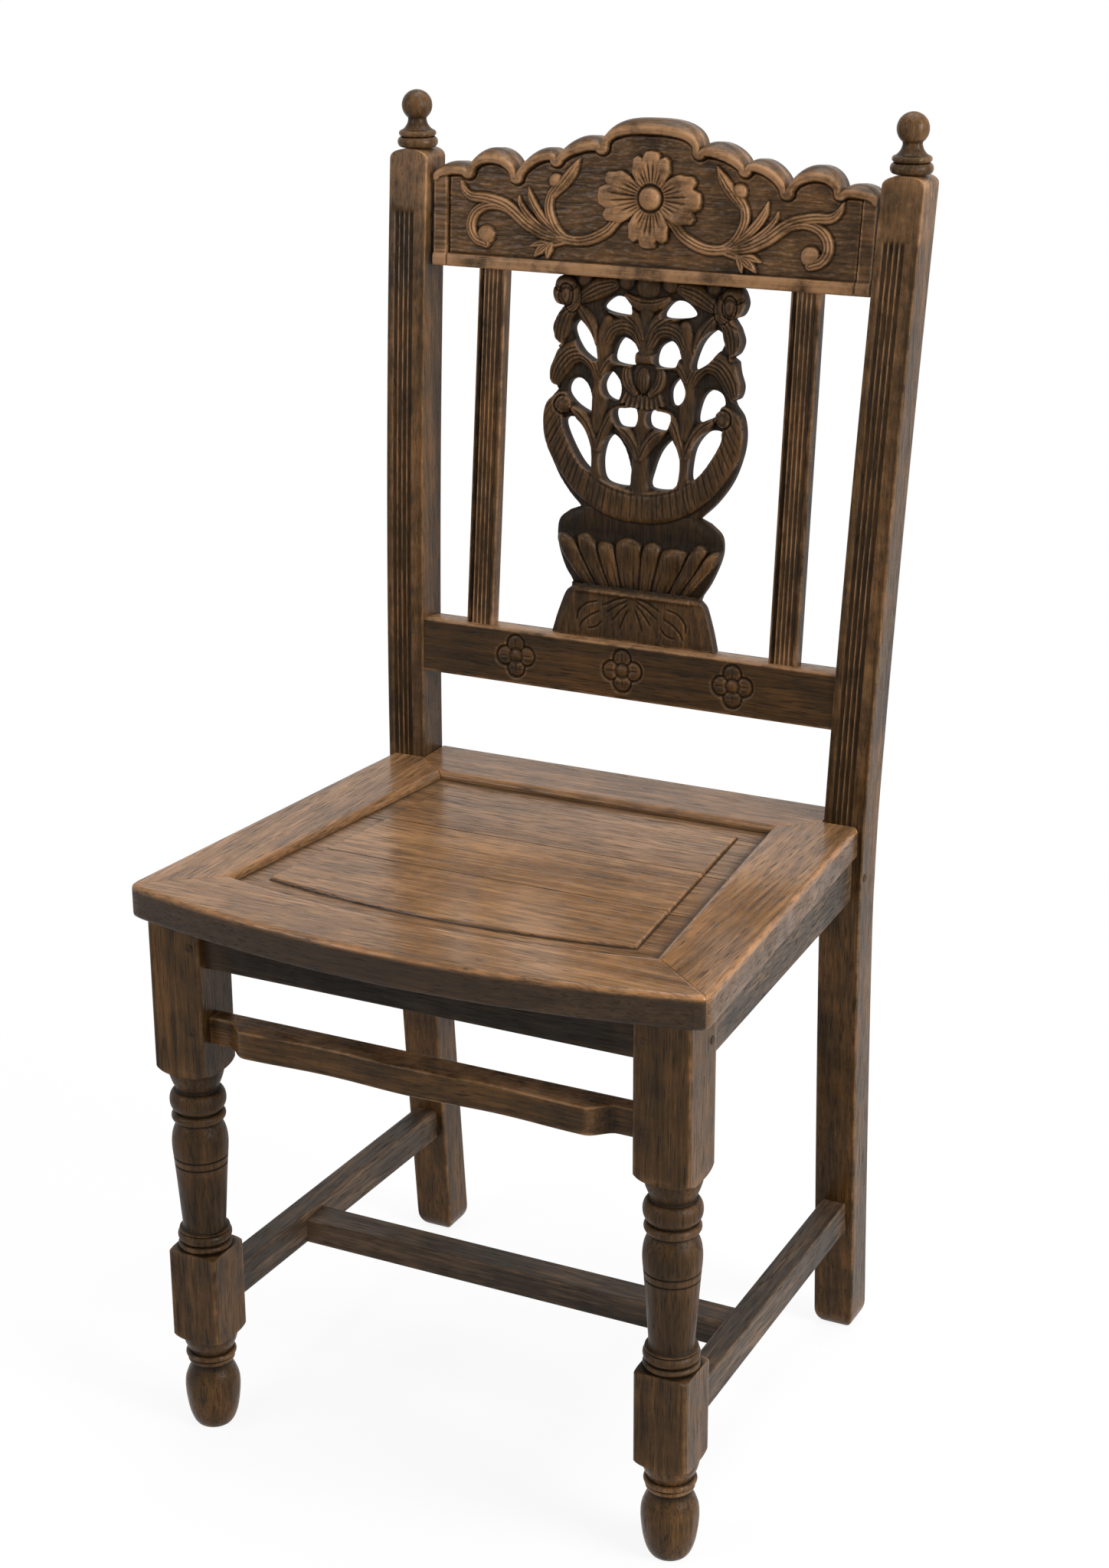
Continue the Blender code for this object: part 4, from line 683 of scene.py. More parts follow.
# %% The sheet
def resampled(line, shares):
    """Points at shares of the length of a line."""
    length = np.concatenate(((0,), np.cumsum(np.linalg.norm(np.diff(line, axis=0), axis=1))))
    return np.stack([np.interp(shares * length[-1], length, line[:, k]) for k in range(line.shape[1])], axis=1)


def even(line, pitch, closed=True):
    """A line parted into equal steps of about one pitch; a closed line leaves out the repeated end."""
    line = np.asarray(line, dtype=float)
    if closed:
        line = np.vstack((line, line[:1]))
    steps = int(round(np.linalg.norm(np.diff(line, axis=0), axis=1).sum() / pitch))
    points = resampled(line, np.linspace(0, 1, steps + 1))
    return points[:-1] if closed else points


def within(points, loop):
    """Which points lie inside a closed loop."""
    x, y = points.T
    result = np.zeros(len(points), dtype=bool)
    for (x0, y0), (x1, y1) in zip(loop, np.roll(loop, -1, axis=0)):
        if y0 != y1:
            result ^= ((y0 > y) != (y1 > y)) & (x < (x1 - x0) * (y - y0) / (y1 - y0) + x0)
    return result


def nearest(points, line):
    """Distance to the nearest point of a line, and which point that is."""
    tree = kdtree.KDTree(len(line))
    for k, (x, y) in enumerate(line):
        tree.insert((x, y, 0), k)
    tree.balance()
    found = [tree.find((x, y, 0)) for x, y in points]
    return np.array([f[2] for f in found]), np.array([f[1] for f in found])


def ring_edges(loops):
    """The edges of closed loops whose points are numbered one loop after another."""
    edges, start = [], 0
    for loop in loops:
        edges += [(start + k, start + (k + 1) % len(loop)) for k in range(len(loop))]
        start += len(loop)
    return edges


class Sheet:
    """A flat sheet of close triangles inside an outline and round its openings, in mm."""

    def __init__(self, outline, openings, pitch):
        self.loops = [np.asarray(loop) for loop in (outline, *openings)]
        low, high = self.loops[0].min(0), self.loops[0].max(0)
        rows = np.arange(low[1], high[1], pitch * 0.87)
        columns = np.arange(low[0], high[0], pitch)
        grid = np.array([(x + pitch / 2 * (j % 2), y) for j, y in enumerate(rows) for x in columns])
        keep = within(grid, self.loops[0])
        for loop in self.loops[1:]:
            keep &= ~within(grid, loop)
        grid = grid[keep]
        rim = np.vstack(self.loops)
        grid = grid[nearest(grid, rim)[0] > pitch * 0.6]
        given = [Vector(p) for p in np.vstack((rim, grid))]
        points, _, faces, origins, _, _ = geometry.delaunay_2d_cdt(given, ring_edges(self.loops), [], 1, 1e-6)
        self.points = np.array([tuple(p) for p in points])
        self.faces = self.outside_openings(self.points, [tuple(f) for f in faces])
        place = {first: k for k, found in enumerate(origins) for first in found}
        self.rims, start = [], 0
        for loop in self.loops:
            self.rims.append(np.array([place[start + k] for k in range(len(loop))]))
            start += len(loop)
        self.from_edge = nearest(self.points, rim)[0]

    def outside_openings(self, points, faces):
        """The triangles that don't lie in an opening."""
        middles = points[np.array(faces)].mean(axis=1)
        keep = np.ones(len(faces), dtype=bool)
        for loop in self.loops[1:]:
            keep &= ~within(middles, loop)
        return [face for face, kept in zip(faces, keep) if kept]

    def rear(self, outline):
        """Triangles that fill the outline and leave the openings, over the points of all the loops in order."""
        loops = [outline, *self.loops[1:]]
        points = np.vstack(loops)
        given = [Vector(p) for p in points]
        _, _, faces, origins, _, _ = geometry.delaunay_2d_cdt(given, ring_edges(loops), [], 1, 1e-6)
        return self.outside_openings(points, [tuple(origins[k][0] for k in face) for face in faces])


print("edges of a loop of four points:", ring_edges([range(4)]))

# %% Strokes
class Relief:
    """Heights over a sheet, worked up from a ground."""

    def __init__(self, sheet, ground):
        self.points = sheet.points
        self.ground = np.broadcast_to(ground, len(self.points)).astype(float).copy()
        self.level = self.ground.copy()

    def near(self, path):
        """The points near a path of (across, up, half width), with their offset and their place along it."""
        line = even(curved(path, 14), 0.4, closed=False)
        reach = line[:, 2].max() + 1
        x, y = self.points.T
        low, high = line[:, :2].min(0) - reach, line[:, :2].max(0) + reach
        index = np.nonzero((x > low[0]) & (x < high[0]) & (y > low[1]) & (y < high[1]))[0]
        gap, found = nearest(self.points[index], line[:, :2])
        ahead = np.gradient(line[:, :2], axis=0)
        ahead /= np.linalg.norm(ahead, axis=1)[:, None]
        off = self.points[index] - line[found, :2]
        side = np.sign(ahead[found, 0] * off[:, 1] - ahead[found, 1] * off[:, 0])
        length = np.concatenate(((0,), np.cumsum(np.linalg.norm(np.diff(line[:, :2], axis=0), axis=1))))
        return index, gap, gap * side, line[found, 2], length[found], length[-1]

    def stroke(self, path, height, reeds=(), cut=0.8, square=2.4, reed=0.5, base=None):
        """Raise a rounded ridge along a path, with reed lines at shares of its half width."""
        index, gap, offset, half, _, _ = self.near(path)
        u = np.clip(gap / np.maximum(half, 0.2), 0, 1)
        rise = height * (1 - u**square) ** (1 / square)
        for share in reeds:
            rise -= cut * np.exp(-((offset - share * half) / reed) ** 2) * (u < 0.98)
        under = self.ground[index] if base is None else base
        raised = np.where(u < 1, under + rise, -99)
        self.level[index] = np.maximum(self.level[index], raised)

    def groove(self, path, depth, width=0.7):
        """Cut a fine line along a path of (across, up)."""
        path = np.hstack((np.asarray(path, dtype=float), np.full((len(path), 1), 3 * width)))
        index, gap, _, _, run, whole = self.near(path)
        fade = np.clip(np.minimum(run, whole - run) / 3 + 0.35, 0, 1)
        self.level[index] -= depth * fade * np.exp(-((gap / width) ** 2))

    def boss(self, place, radius, height, square=2.0, base=None, stretch=(1, 1)):
        """Raise a round knob."""
        off = (self.points - np.array(place)) / np.array(stretch)
        u = np.clip(np.hypot(*off.T) / radius, 0, 1)
        under = self.ground if base is None else base
        raised = np.where(u < 1, under + height * (1 - u**square) ** (1 / square), -99)
        self.level = np.maximum(self.level, raised)

    def tooled(self, amount, across, up, where=None):
        """Leave the marks of the gouge on the ground."""
        marks = np.array([noise.noise((x * across, y * up, 3.7)) for x, y in self.points])
        marks += 0.5 * np.array([noise.noise((x * across * 2.3, y * up * 2.3, 9.1)) for x, y in self.points])
        self.level += amount * marks * (1 if where is None else where)


def mirrored(path):
    return [(-p[0], *p[1:]) for p in path]


print("a path from (3, 4) to (5, 9), mirrored:", mirrored([(3, 4), (5, 9)]))

# %% From sheet to board
def carved_board(name, sheet, level, foot, behind=None, turn_level=0.0):
    """Stand a sheet on the back at its heights and give it walls and a rear face. behind is where the outline has moved
    to at turn_level, when its front edge is rounded over."""
    flat = [np.column_stack((sheet.points[:, 0], level, sheet.points[:, 1]))]
    last = []
    faces = list(sheet.faces)
    count = len(sheet.points)
    for number, (loop, rim) in enumerate(zip(sheet.loops, sheet.rims)):
        rings = []
        if number == 0 and behind is not None:
            for turn in np.linspace(0.5, math.pi / 2, 9)[1:]:
                share = (math.sin(turn) - math.sin(0.5)) / (1 - math.sin(0.5))
                fall = math.cos(turn) / math.cos(0.5)
                rings.append((loop + (behind - loop) * share, turn_level + (level[rim] - turn_level) * fall))
            rings.append((behind, np.zeros(len(loop))))
        else:
            rings.append((loop, np.minimum(level[rim] * 0.5, 5.0)))
            rings.append((loop, np.zeros(len(loop))))
        above = rim
        for place, height in rings:
            ring = np.arange(count, count + len(loop))
            flat.append(np.column_stack((place[:, 0], height, place[:, 1])))
            faces += [tuple(f) for f in np.column_stack((above, np.roll(above, -1), np.roll(ring, -1), ring)).tolist()]
            above, count = ring, count + len(loop)
        last.append(above)
    last = np.concatenate(last)
    faces += [tuple(int(last[k]) for k in face) for face in sheet.rear(sheet.loops[0] if behind is None else behind)]
    flat = np.vstack(flat)
    piece = new_piece(name, on_back(flat[:, 0], flat[:, 1], flat[:, 2] + foot).tolist(), (), faces)
    close_up(piece, 55)
    return piece


print("carving tools ready")

# %% [markdown]
# ## Crest rail
# The top is sawn in scallops and rounded over to the back, so its line behind stands higher than its line in front.
# A roll follows the scallops, a plain fillet runs along the foot and a strip closes each end. On the sunk and tooled
# ground lie a four-petalled flower and a scrolling stem on each side.

# %% Crest outline
# Each scallop from the middle outwards: width, height of its outer cusp, swell in front and swell behind
SCALLOPS = ((41.0, 98.0, 17.0, 24.5), (38.5, 87.0, 6.2, 13.5), (34.5, 72.0, 9.5, 15.0), (43.0, 74.0, 14.0, 21.0))
CREST_END, CREST_END_HEIGHT, CREST_END_SWELL = 186.9, 71.0, (4.0, 9.5)
CREST_FRONT, CREST_GROUND = 23.5, 18.6


def swell(start, end, rise, steps, power=2.0):
    """An elliptical arch over a chord, without its last point."""
    turns = np.linspace(0, math.pi, steps, endpoint=False)
    cos, sin = np.cos(turns), np.sin(turns)
    share = (1 - np.sign(cos) * np.abs(cos) ** (2 / power)) / 2
    line = np.array(start) + (np.array(end) - np.array(start)) * share[:, None]
    line[:, 1] += rise * np.abs(sin) ** (2 / power)
    return line


def crest_top(face):
    """The whole scalloped top from the right end to the left, in front (0) or behind (1)."""
    half, start = [], None
    inner = 0.0
    for width, cusp, *swells in SCALLOPS:
        end = (inner + width, cusp)
        if start is None:
            whole = swell((-width, cusp), end, swells[face], 160, 2.6)
            half.append(whole[80:])
        else:
            half.append(swell(start, end, swells[face], 64))
        start, inner = end, end[0]
    half.append(swell(start, (CREST_END, CREST_END_HEIGHT), CREST_END_SWELL[face], 46))
    half = np.vstack((*half, (CREST_END, CREST_END_HEIGHT)))
    return np.vstack((half[::-1], half[1:] * (-1, 1)))


def crest_loops(pitch):
    front, rear = crest_top(0), crest_top(1)
    side = np.linspace((-CREST_END, CREST_END_HEIGHT), (-CREST_END + 1.6, 0.0), int(71 / pitch))[1:]
    foot = np.linspace(side[-1], -side[-1] * (1, -1), int(2 * CREST_END / pitch))[1:]
    rest = np.vstack((side, foot, (side[::-1] * (-1, 1))[1:]))
    return np.vstack((front, rest)), np.vstack((rear, rest)), front


print("crest:", SCALLOPS[0][1] + SCALLOPS[0][2], "mm high in front, with", 2 * len(SCALLOPS) + 1, "scallops")

# %% Crest carving
SCROLLS = (
    # path of (across, up, half width), height above the ground, reed lines
    (((17, 48, 3.6), (24, 42, 5.0), (31, 35, 5.4), (44, 28.4, 5.4), (56.5, 26.2, 5.2), (70, 28, 4.6), (80, 32, 3.0)),
     4.6, (-0.2, 0.35)),
    (((58, 26.5, 4.0), (68, 29, 4.8), (76.5, 37, 5.0), (81.5, 49, 5.0), (80, 60, 4.6), (74, 67, 4.0), (67, 71, 3.0)),
     4.5, (-0.3, 0.25)),
    (((80, 58, 3.0), (73, 66, 5.0), (66, 74, 5.8), (61, 81, 4.6), (56, 89, 0.8)), 5.0, (-0.15, 0.3, 0.6)),
    (((70, 30, 2.6), (82, 38, 4.2), (91, 47, 4.6), (97, 56, 3.8), (100, 65, 0.8)), 4.5, (0.1, -0.45)),
    (((72, 29, 2.6), (86, 34, 4.0), (98, 42, 4.0), (106, 51, 3.0), (108, 58, 0.8)), 3.9, (0.1,)),
    (((66, 28, 3.0), (82, 28.5, 5.0), (99, 36, 6.0), (112, 45.5, 6.3), (122, 51, 6.2), (137, 54.5, 5.6),
      (150, 55.5, 4.8), (156.5, 60, 3.6), (160, 68, 0.8)), 4.8, (-0.25, 0.3)),
    (((112, 45, 3.6), (127, 49.5, 4.4), (139, 48, 4.8), (147.5, 41.5, 5.2), (150, 31.5, 5.4), (145, 23, 5.0),
      (136, 19.5, 4.6)), 4.6, (-0.25, 0.35)),
    (((62, 26, 2.6), (70, 24.4, 3.6), (78, 22.5, 4.0), (84, 20.5, 3.0)), 4.0, (0.0,)),
    # a leaf of three lobes at its end
    (((77, 23, 2.0), (80, 18, 4.6), (81, 11.5, 1.0)), 4.6, (0.0,)),
    (((78, 23, 2.0), (86, 18.5, 5.4), (92, 12.5, 1.2)), 5.0, (-0.2, 0.2)),
    (((79, 23, 2.0), (88, 22.5, 4.4), (96, 20, 1.0)), 4.6, (0.0,)),
)
BUDS = ((76, 71, 6.6, 5.2), (136, 26.5, 8.2, 5.4))
FLOWER_PLACE = (2.0, 62.0)
PETALS = ((0, 43.5), (90, 36.5), (180, 45.0), (270, 38.5))
# How far a petal reaches, as a share of its length, at degrees from its middle
PETAL_EDGE = ((0, 8, 14, 20, 27, 33, 39, 45), (1.0, 0.985, 0.855, 0.945, 0.92, 0.79, 0.72, 0.52))
# How wide the scrolls are cut, against their paths, and how much further out the left one lies
SCROLL_WIDTH, LEFT_SHIFT = 0.86, 3.0
# Width of the roll, height of the fillet, and width and level of the strips at the ends
ROLL_WIDTH, FILLET_HIGH, STRIP_WIDTH, STRIP_LEVEL = 5.2, 9.8, 11.5, 21.4


def carve_flower(relief):
    off = relief.points - np.array(FLOWER_PLACE)
    far = np.hypot(*off.T)
    angle = np.degrees(np.arctan2(off[:, 1], off[:, 0]))
    raised = np.full(len(far), -99.0)
    for middle, length in PETALS:
        turn = (angle - middle + 180) % 360 - 180
        share = np.clip(np.abs(turn) / 45, 0, 1)
        reach = length * np.interp(np.abs(turn), *PETAL_EDGE)
        u = np.clip(far / reach, 0, 1.2)
        cup = 2.4 + 3.4 * np.clip((u - 0.22) / 0.5, 0, 1) ** 1.2 - 1.3 * np.clip((u - 0.80) / 0.20, 0, 1) ** 2
        cup -= 2.2 * np.clip((share - 0.80) / 0.20, 0, 1) ** 1.5
        for rib in (-34, -24, -14.5, -5, 5, 14.5, 24, 34):
            wide = np.radians(np.abs(turn - rib)) * far
            end = 0.80 if abs(rib) < 20 else 0.66
            cup -= 1.1 * np.exp(-((wide / 0.7) ** 2)) * np.clip((far - 9) / 4, 0, 1) * np.clip((end - u) / 0.14, 0, 1)
        edge = np.clip((1 - u) * reach / 1.3, 0, 1) ** 0.5
        on_petal = (np.abs(turn) <= 45.0) & (u < 1)
        raised = np.where(on_petal, CREST_GROUND + cup * edge, raised)
    relief.level = np.maximum(relief.level, raised)
    relief.level -= 1.4 * np.exp(-(((far - 10.3) / 1.0) ** 2))
    relief.boss(FLOWER_PLACE, 9.4, 8.2, 2.4)


def make_crest():
    outline, behind, top = crest_loops(0.75)
    sheet = Sheet(outline, (), 0.75)
    relief = Relief(sheet, CREST_GROUND)
    x, up = sheet.points.T
    relief.tooled(0.42, 0.10, 0.34)
    look = dict(cut=1.1, square=2.1)
    for path, height, reeds in SCROLLS:
        path = [(px, py, half * SCROLL_WIDTH) for px, py, half in path]
        relief.stroke(path, height, reeds, **look)
        relief.stroke([(-px - LEFT_SHIFT, py, half) for px, py, half in path], height, [-r for r in reeds], **look)
    for px, py, radius, height in BUDS:
        relief.boss((px, py), radius, height)
        relief.boss((-px - LEFT_SHIFT, py), radius, height)
    carve_flower(relief)
    from_top = nearest(sheet.points, top)[0]
    inner = np.clip((from_top - ROLL_WIDTH + 1.8) / 1.8, 0, 1)
    roll = CREST_FRONT - 0.5 * np.clip(1 - from_top / 1.2, 0, 1) - 0.9 * inner**2
    relief.level = np.where(from_top < ROLL_WIDTH, np.maximum(relief.level, roll), relief.level)
    relief.level -= 1.2 * np.exp(-(((from_top - ROLL_WIDTH - 0.8) / 0.9) ** 2))
    fillet = CREST_FRONT - 0.9 * np.clip((up - 6.5) / 3.2, 0, 1) ** 2 - 1.0 * np.clip(1 - up / 1.2, 0, 1) ** 2
    relief.level = np.where((up < FILLET_HIGH) & (from_top > 3), np.maximum(relief.level, fillet), relief.level)
    from_end = CREST_END - 1.6 + up / 71 * 1.6 - np.abs(x)
    strip = STRIP_LEVEL + 0.45 * np.array([noise.noise((0.02 * a, 0.33 * b, 1.5)) for a, b in sheet.points])
    under_roll = from_top > ROLL_WIDTH
    relief.level = np.where((from_end < STRIP_WIDTH) & under_roll, np.maximum(relief.level, strip), relief.level)
    relief.level -= 1.0 * np.exp(-(((from_end - 12.2) / 0.7) ** 2)) * under_roll
    level = np.clip(relief.level, 12, 27)
    return carved_board("carved_crest", sheet, level, CREST_FOOT, behind, 10.5)


def in_front(piece):
    """How far each point of a piece stands in front of the rear plane, in mm."""
    _, y, z = vertex_array(piece).T
    return ((BACK_FOOT.y - y) * math.cos(BACK_TILT) + (z - BACK_FOOT.z) * math.sin(BACK_TILT)) / MM


crest = make_crest()
level = in_front(crest)
z = vertex_array(crest)[:, 2]
on_fillet = (z < z.min() + 0.010) & (level > 20)
# Faces that look up get less of the pale mark: painted shade against the lamp overhead
on_top = np.clip((vertex_array(crest, "normal")[:, 2] - 0.65) / 0.25, 0, 1)
# Paler over the carving, its high parts and the fillet: rubbing with painted highlights
rubbed_and_highlight = 0.24 * (level > 1) + 0.38 * np.clip((level - 20.2) / 3.2, 0, 1) + 0.24 * on_fillet
fit(crest, oaks["oak_dark", "X"], "oak_dark", "crest_rail", wear=(level > 1) * (1 - 0.7 * on_top),
    rubbed_and_highlight=rubbed_and_highlight * (1 - 0.7 * on_top), dirt=0.7)

# %% [markdown]
# ## Splat
# The splat is a basket of flowers on a bowl and plinth, sawn out and pierced before it is carved. The bars left between
# the openings are rounded from edge to edge first. Then come the bowl with its gadroons (round lobes of uneven width,
# which swell towards the top), the fluted basket, stems and leaves as strokes, a closed bud in each top corner, a bell
# flower that hangs in the middle, and the plinth with its incised leaves. The carving is drawn for the right half and
# repeated for the left; only the lobes are drawn one by one.

# %% Splat outline
SPLAT_HALF, SPLAT_HEIGHT, SPLAT_FRONT, SPLAT_GROUND = 86.0, 286.0, 15.0, 6.4
PLINTH_TOP, BOWL_TOP = 42, 104
SPLAT_EDGE = (
    ((0.83, 0.000), (0.785, 0.050), (0.735, 0.095), (0.70, 0.120), (0.645, 0.136)),
    ((0.66, 0.150), (0.74, 0.190), (0.82, 0.250), (0.84, 0.290), (0.81, 0.325), (0.70, 0.352)),
    ((0.60, 0.364), (0.76, 0.412), (0.90, 0.475), (0.98, 0.545), (1.00, 0.600), (0.97, 0.650), (0.89, 0.682)),
    ((0.87, 0.694), (0.93, 0.705), (0.95, 0.735), (0.91, 0.770), (0.89, 0.800)),
    ((0.84, 0.810), (0.90, 0.825), (0.93, 0.855), (0.89, 0.890)),
    ((0.83, 0.914), (0.91, 0.925), (0.95, 0.955), (0.92, 0.985), (0.88, 1.000)),
)
SPLAT_GAPS = (
    ((0.49, 0.470), (0.60, 0.483), (0.73, 0.538), (0.81, 0.592), (0.75, 0.610), (0.62, 0.600), (0.51, 0.550)),
    ((0.10, 0.436), (0.35, 0.441), (0.41, 0.490), (0.38, 0.548), (0.29, 0.572), (0.18, 0.540), (0.11, 0.485)),
    ((0.06, 0.603), (0.25, 0.598), (0.29, 0.643), (0.06, 0.646)),
    ((0.53, 0.630), (0.68, 0.643), (0.79, 0.677), (0.76, 0.710), (0.65, 0.718), (0.56, 0.690)),
    ((0.27, 0.668), (0.39, 0.676), (0.43, 0.710), (0.35, 0.745), (0.25, 0.712)),
    ((0.10, 0.770), (0.32, 0.773), (0.32, 0.812), (0.24, 0.840), (0.11, 0.818)),
    ((0.47, 0.770), (0.65, 0.793), (0.76, 0.852), (0.67, 0.880), (0.53, 0.840)),
    ((0.14, 0.905), (0.33, 0.903), (0.47, 0.917), (0.36, 0.948), (0.22, 0.944)),
)
SPLAT_SIZE = np.array((SPLAT_HALF, SPLAT_HEIGHT))


def splat_loops(pitch):
    """The sawn outline and the openings, in mm, and the sides of the plinth."""
    parts = [curved(np.array(part) * SPLAT_SIZE, 8) for part in SPLAT_EDGE]
    half = np.vstack(parts)
    outline = even(np.vstack((half, half[::-1] * (-1, 1))), pitch)
    gaps = []
    for gap in SPLAT_GAPS:
        ring = np.array(gap) * SPLAT_SIZE
        ring = curved(np.vstack((ring[-2:], ring, ring[:2])), 8)[16:-9]
        ring = even(ring, pitch)
        gaps += [ring, (ring * (-1, 1))[::-1]]
    plinth = even(parts[0], 0.5, closed=False)
    return outline, gaps, np.vstack((plinth, plinth * (-1, 1)))


print("splat:", 2 * SPLAT_HALF, "by", SPLAT_HEIGHT, "mm, with", 2 * len(SPLAT_GAPS), "openings")

# %% Splat carving
BASKET = ((0, 109, 13), (20, 111, 13), (38, 118, 12.5), (52, 128, 12), (64, 142, 11.5), (73, 156, 11), (77.5, 170, 9.5),
          (77, 180, 8.5), (70, 187, 7.5))
# Path, height above the foot of the carving, reed lines
SPLAT_STROKES = (
    # stem, its pair of leaves and what stands between them
    (((0, 119, 10), (0, 132, 8.5), (0, 146, 8), (0, 155, 7)), 5.0, ()),
    (((0, 157, 5), (0, 170, 8), (0, 184, 6)), 4.4, ()),
    (((1, 147, 4.5), (6, 158, 6), (13, 166, 6), (22.5, 172, 1.5)), 5.9, (0.15,)),
    # side stem and its leaves
    (((38, 121, 7), (38, 140, 6.5), (39, 157, 6.5)), 5.2, ()),
    (((39, 151, 4), (45, 166, 6), (53, 176, 6), (63, 183, 1.5)), 5.9, (0.15,)),
    (((37, 151, 4), (31, 168, 6), (24, 180, 6), (13, 187.5, 1.5)), 5.9, (-0.15,)),
    (((38, 168, 7.5), (37.5, 190, 8), (37, 206, 8), (38, 222, 8), (36, 240, 7.5), (33, 252, 6)), 5.0, ()),
    # leaf arched over the outer opening, and the curl towards the middle
    (((38, 205, 5), (43, 218, 8), (53, 226, 9.5), (65, 224, 10.5), (74, 213, 10), (78, 202, 6)), 5.8,
     (-0.6, -0.28, 0.04, 0.36)),
    (((37, 211, 4), (30, 221, 5.5), (20, 222, 5), (12, 219, 2.5)), 5.9, (0.0,)),
    # petals curled back beside the middle bud
    (((7, 198, 3.5), (13, 205, 5.5), (15, 214, 5), (12, 222, 2.5)), 5.4, (-0.2, 0.3)),
    # stem and arched leaves above it
    (((0, 229, 7), (0, 246, 7), (0, 262, 7)), 5.0, ()),
    (((3, 236, 5), (9, 247, 7.5), (19, 250, 8), (29, 246, 7), (34, 237, 6)), 5.3, (-0.5, -0.1, 0.3)),
    (((2, 241, 4), (7, 251, 7), (17, 258.5, 7.5), (29, 262, 5.5), (39, 262.5, 1.2)), 5.9, (-0.45, -0.05)),
    (((43, 235, 4), (47, 246, 6.5), (53, 255, 6.5), (60, 263, 3)), 5.4, (0.0,)),
    (((61, 262, 5), (70, 256, 8.5), (74, 246, 9.5), (75, 236, 7), (73, 230, 2.5)), 6.0, (-0.55, -0.2, 0.15, 0.5)),
    # top edge
    (((29, 281, 6), (42, 277, 9), (54, 270, 7), (61, 264, 2)), 5.4, (-0.5, -0.1, 0.3)),
    (((-18, 273, 2.5), (-9, 268, 6), (0, 266.5, 7), (9, 268, 6), (18, 273, 2.5)), 5.6, (0.3,)),
)
SPLAT_BUDS = (
    # place, radius, height
    (0, 281, 12.0, 8.4), (19, 284, 8.5, 7.8), (69, 184, 8.5, 8.4), (0, 209, 17.0, 5.0), (55, 283, 7.0, 7.4),
)
# The petals of the bud in a top corner, lowest first: place, radius, height, stretch
ROSE_PETALS = (
    (70.5, 271.5, 14.8, 6.4, (1.0, 1.0)), (77.0, 267.0, 10.5, 8.0, (0.80, 1.15)), (64.0, 268.5, 9.5, 7.8, (0.75, 1.2)),
    (72.0, 279.0, 8.5, 8.2, (1.15, 0.75)), (70.0, 270.0, 6.8, 9.0, (0.85, 1.25)),
)
# Where the lobes of the bowl meet, across its widest line, and the middle and radius of the bell flower's skirt
GADROONS = np.array((-74.0, -54.0, -36.0, -19.0, 6.0, 23.0, 48.0, 63.5, 76.0))
SKIRT_MIDDLE, SKIRT_RADIUS, SKIRT_FLUTE, SKIRT_LENGTH, SKIRT_SPREAD = (0.0, 232.0), 46.5, 5.6, 11.5, 25.5
PLINTH_LEAVES = (
    ((4, 36), (14, 33), (25, 27)), ((4, 33), (13, 28), (22, 21)), ((4, 30), (11, 23), (17, 15)),
    ((3, 26), (7, 18), (10, 9)), ((30, 30), (40, 27), (47, 20), (48, 12)),
    ((28, 22), (36, 18), (43, 12), (46, 6)), ((26, 14), (31, 9), (38, 7)),
)


def carve_bowl(level, x, up, from_edge):
    """Gadroons of uneven width that hang from round heads and thin out to the foot, under a plain hollow."""
    across = x / np.interp(up, (42, 52, 64, 80, 102), (0.62, 0.73, 0.86, 1.0, 0.97))
    number = np.clip(np.searchsorted(GADROONS, across) - 1, 0, len(GADROONS) - 2)
    low, high = GADROONS[number], GADROONS[number + 1]
    beside = np.clip((across - low) / (high - low) * 2 - 1, -1, 1)
    arch = np.sqrt(1 - beside**2)
    top = 74.0 + 3.0 * np.sin(number * 2.3) * arch + 8.0 * arch
    hollow = 8.0 + 2.2 * np.clip((up - 84) / 16, 0, 1)
    head = np.exp(-(((top - up - 7) / 11) ** 2))
    bulge = 9.4 + (3.0 + 2.4 * head) * arch**0.75 - 2.4 * np.clip((56 - up) / 14, 0, 1) ** 2
    veins = np.exp(-(((np.abs(beside) - 0.45) / 0.10) ** 2)) * np.clip((64 - up) / 8, 0, 1)
    end = np.clip((top - up) / 7.5, 0, 1)
    lobes = hollow + (bulge - 0.6 * veins - hollow) * np.sqrt(np.clip(1 - (1 - end) ** 2.4, 0, 1))
    turned = np.where(up < top, lobes, hollow) - 3.0 * np.clip(1 - from_edge / 8, 0, 1) ** 2
    return np.where((up > PLINTH_TOP) & (up < BOWL_TOP), turned, level)


def carve_roses(relief):
    """A closed bud in each top corner, its petals folded over each other."""
    for side in (-1, 1):
        for across, up, radius, height, stretch in ROSE_PETALS:
            place = (side * across, up)
            off = np.hypot(*((relief.points - place) / stretch).T) - radius
            relief.level -= 1.3 * np.exp(-((off / 1.0) ** 2)) * (off > 0) * (radius < 12)
            relief.boss(place, radius, height, 2.4, SPLAT_GROUND, stretch)


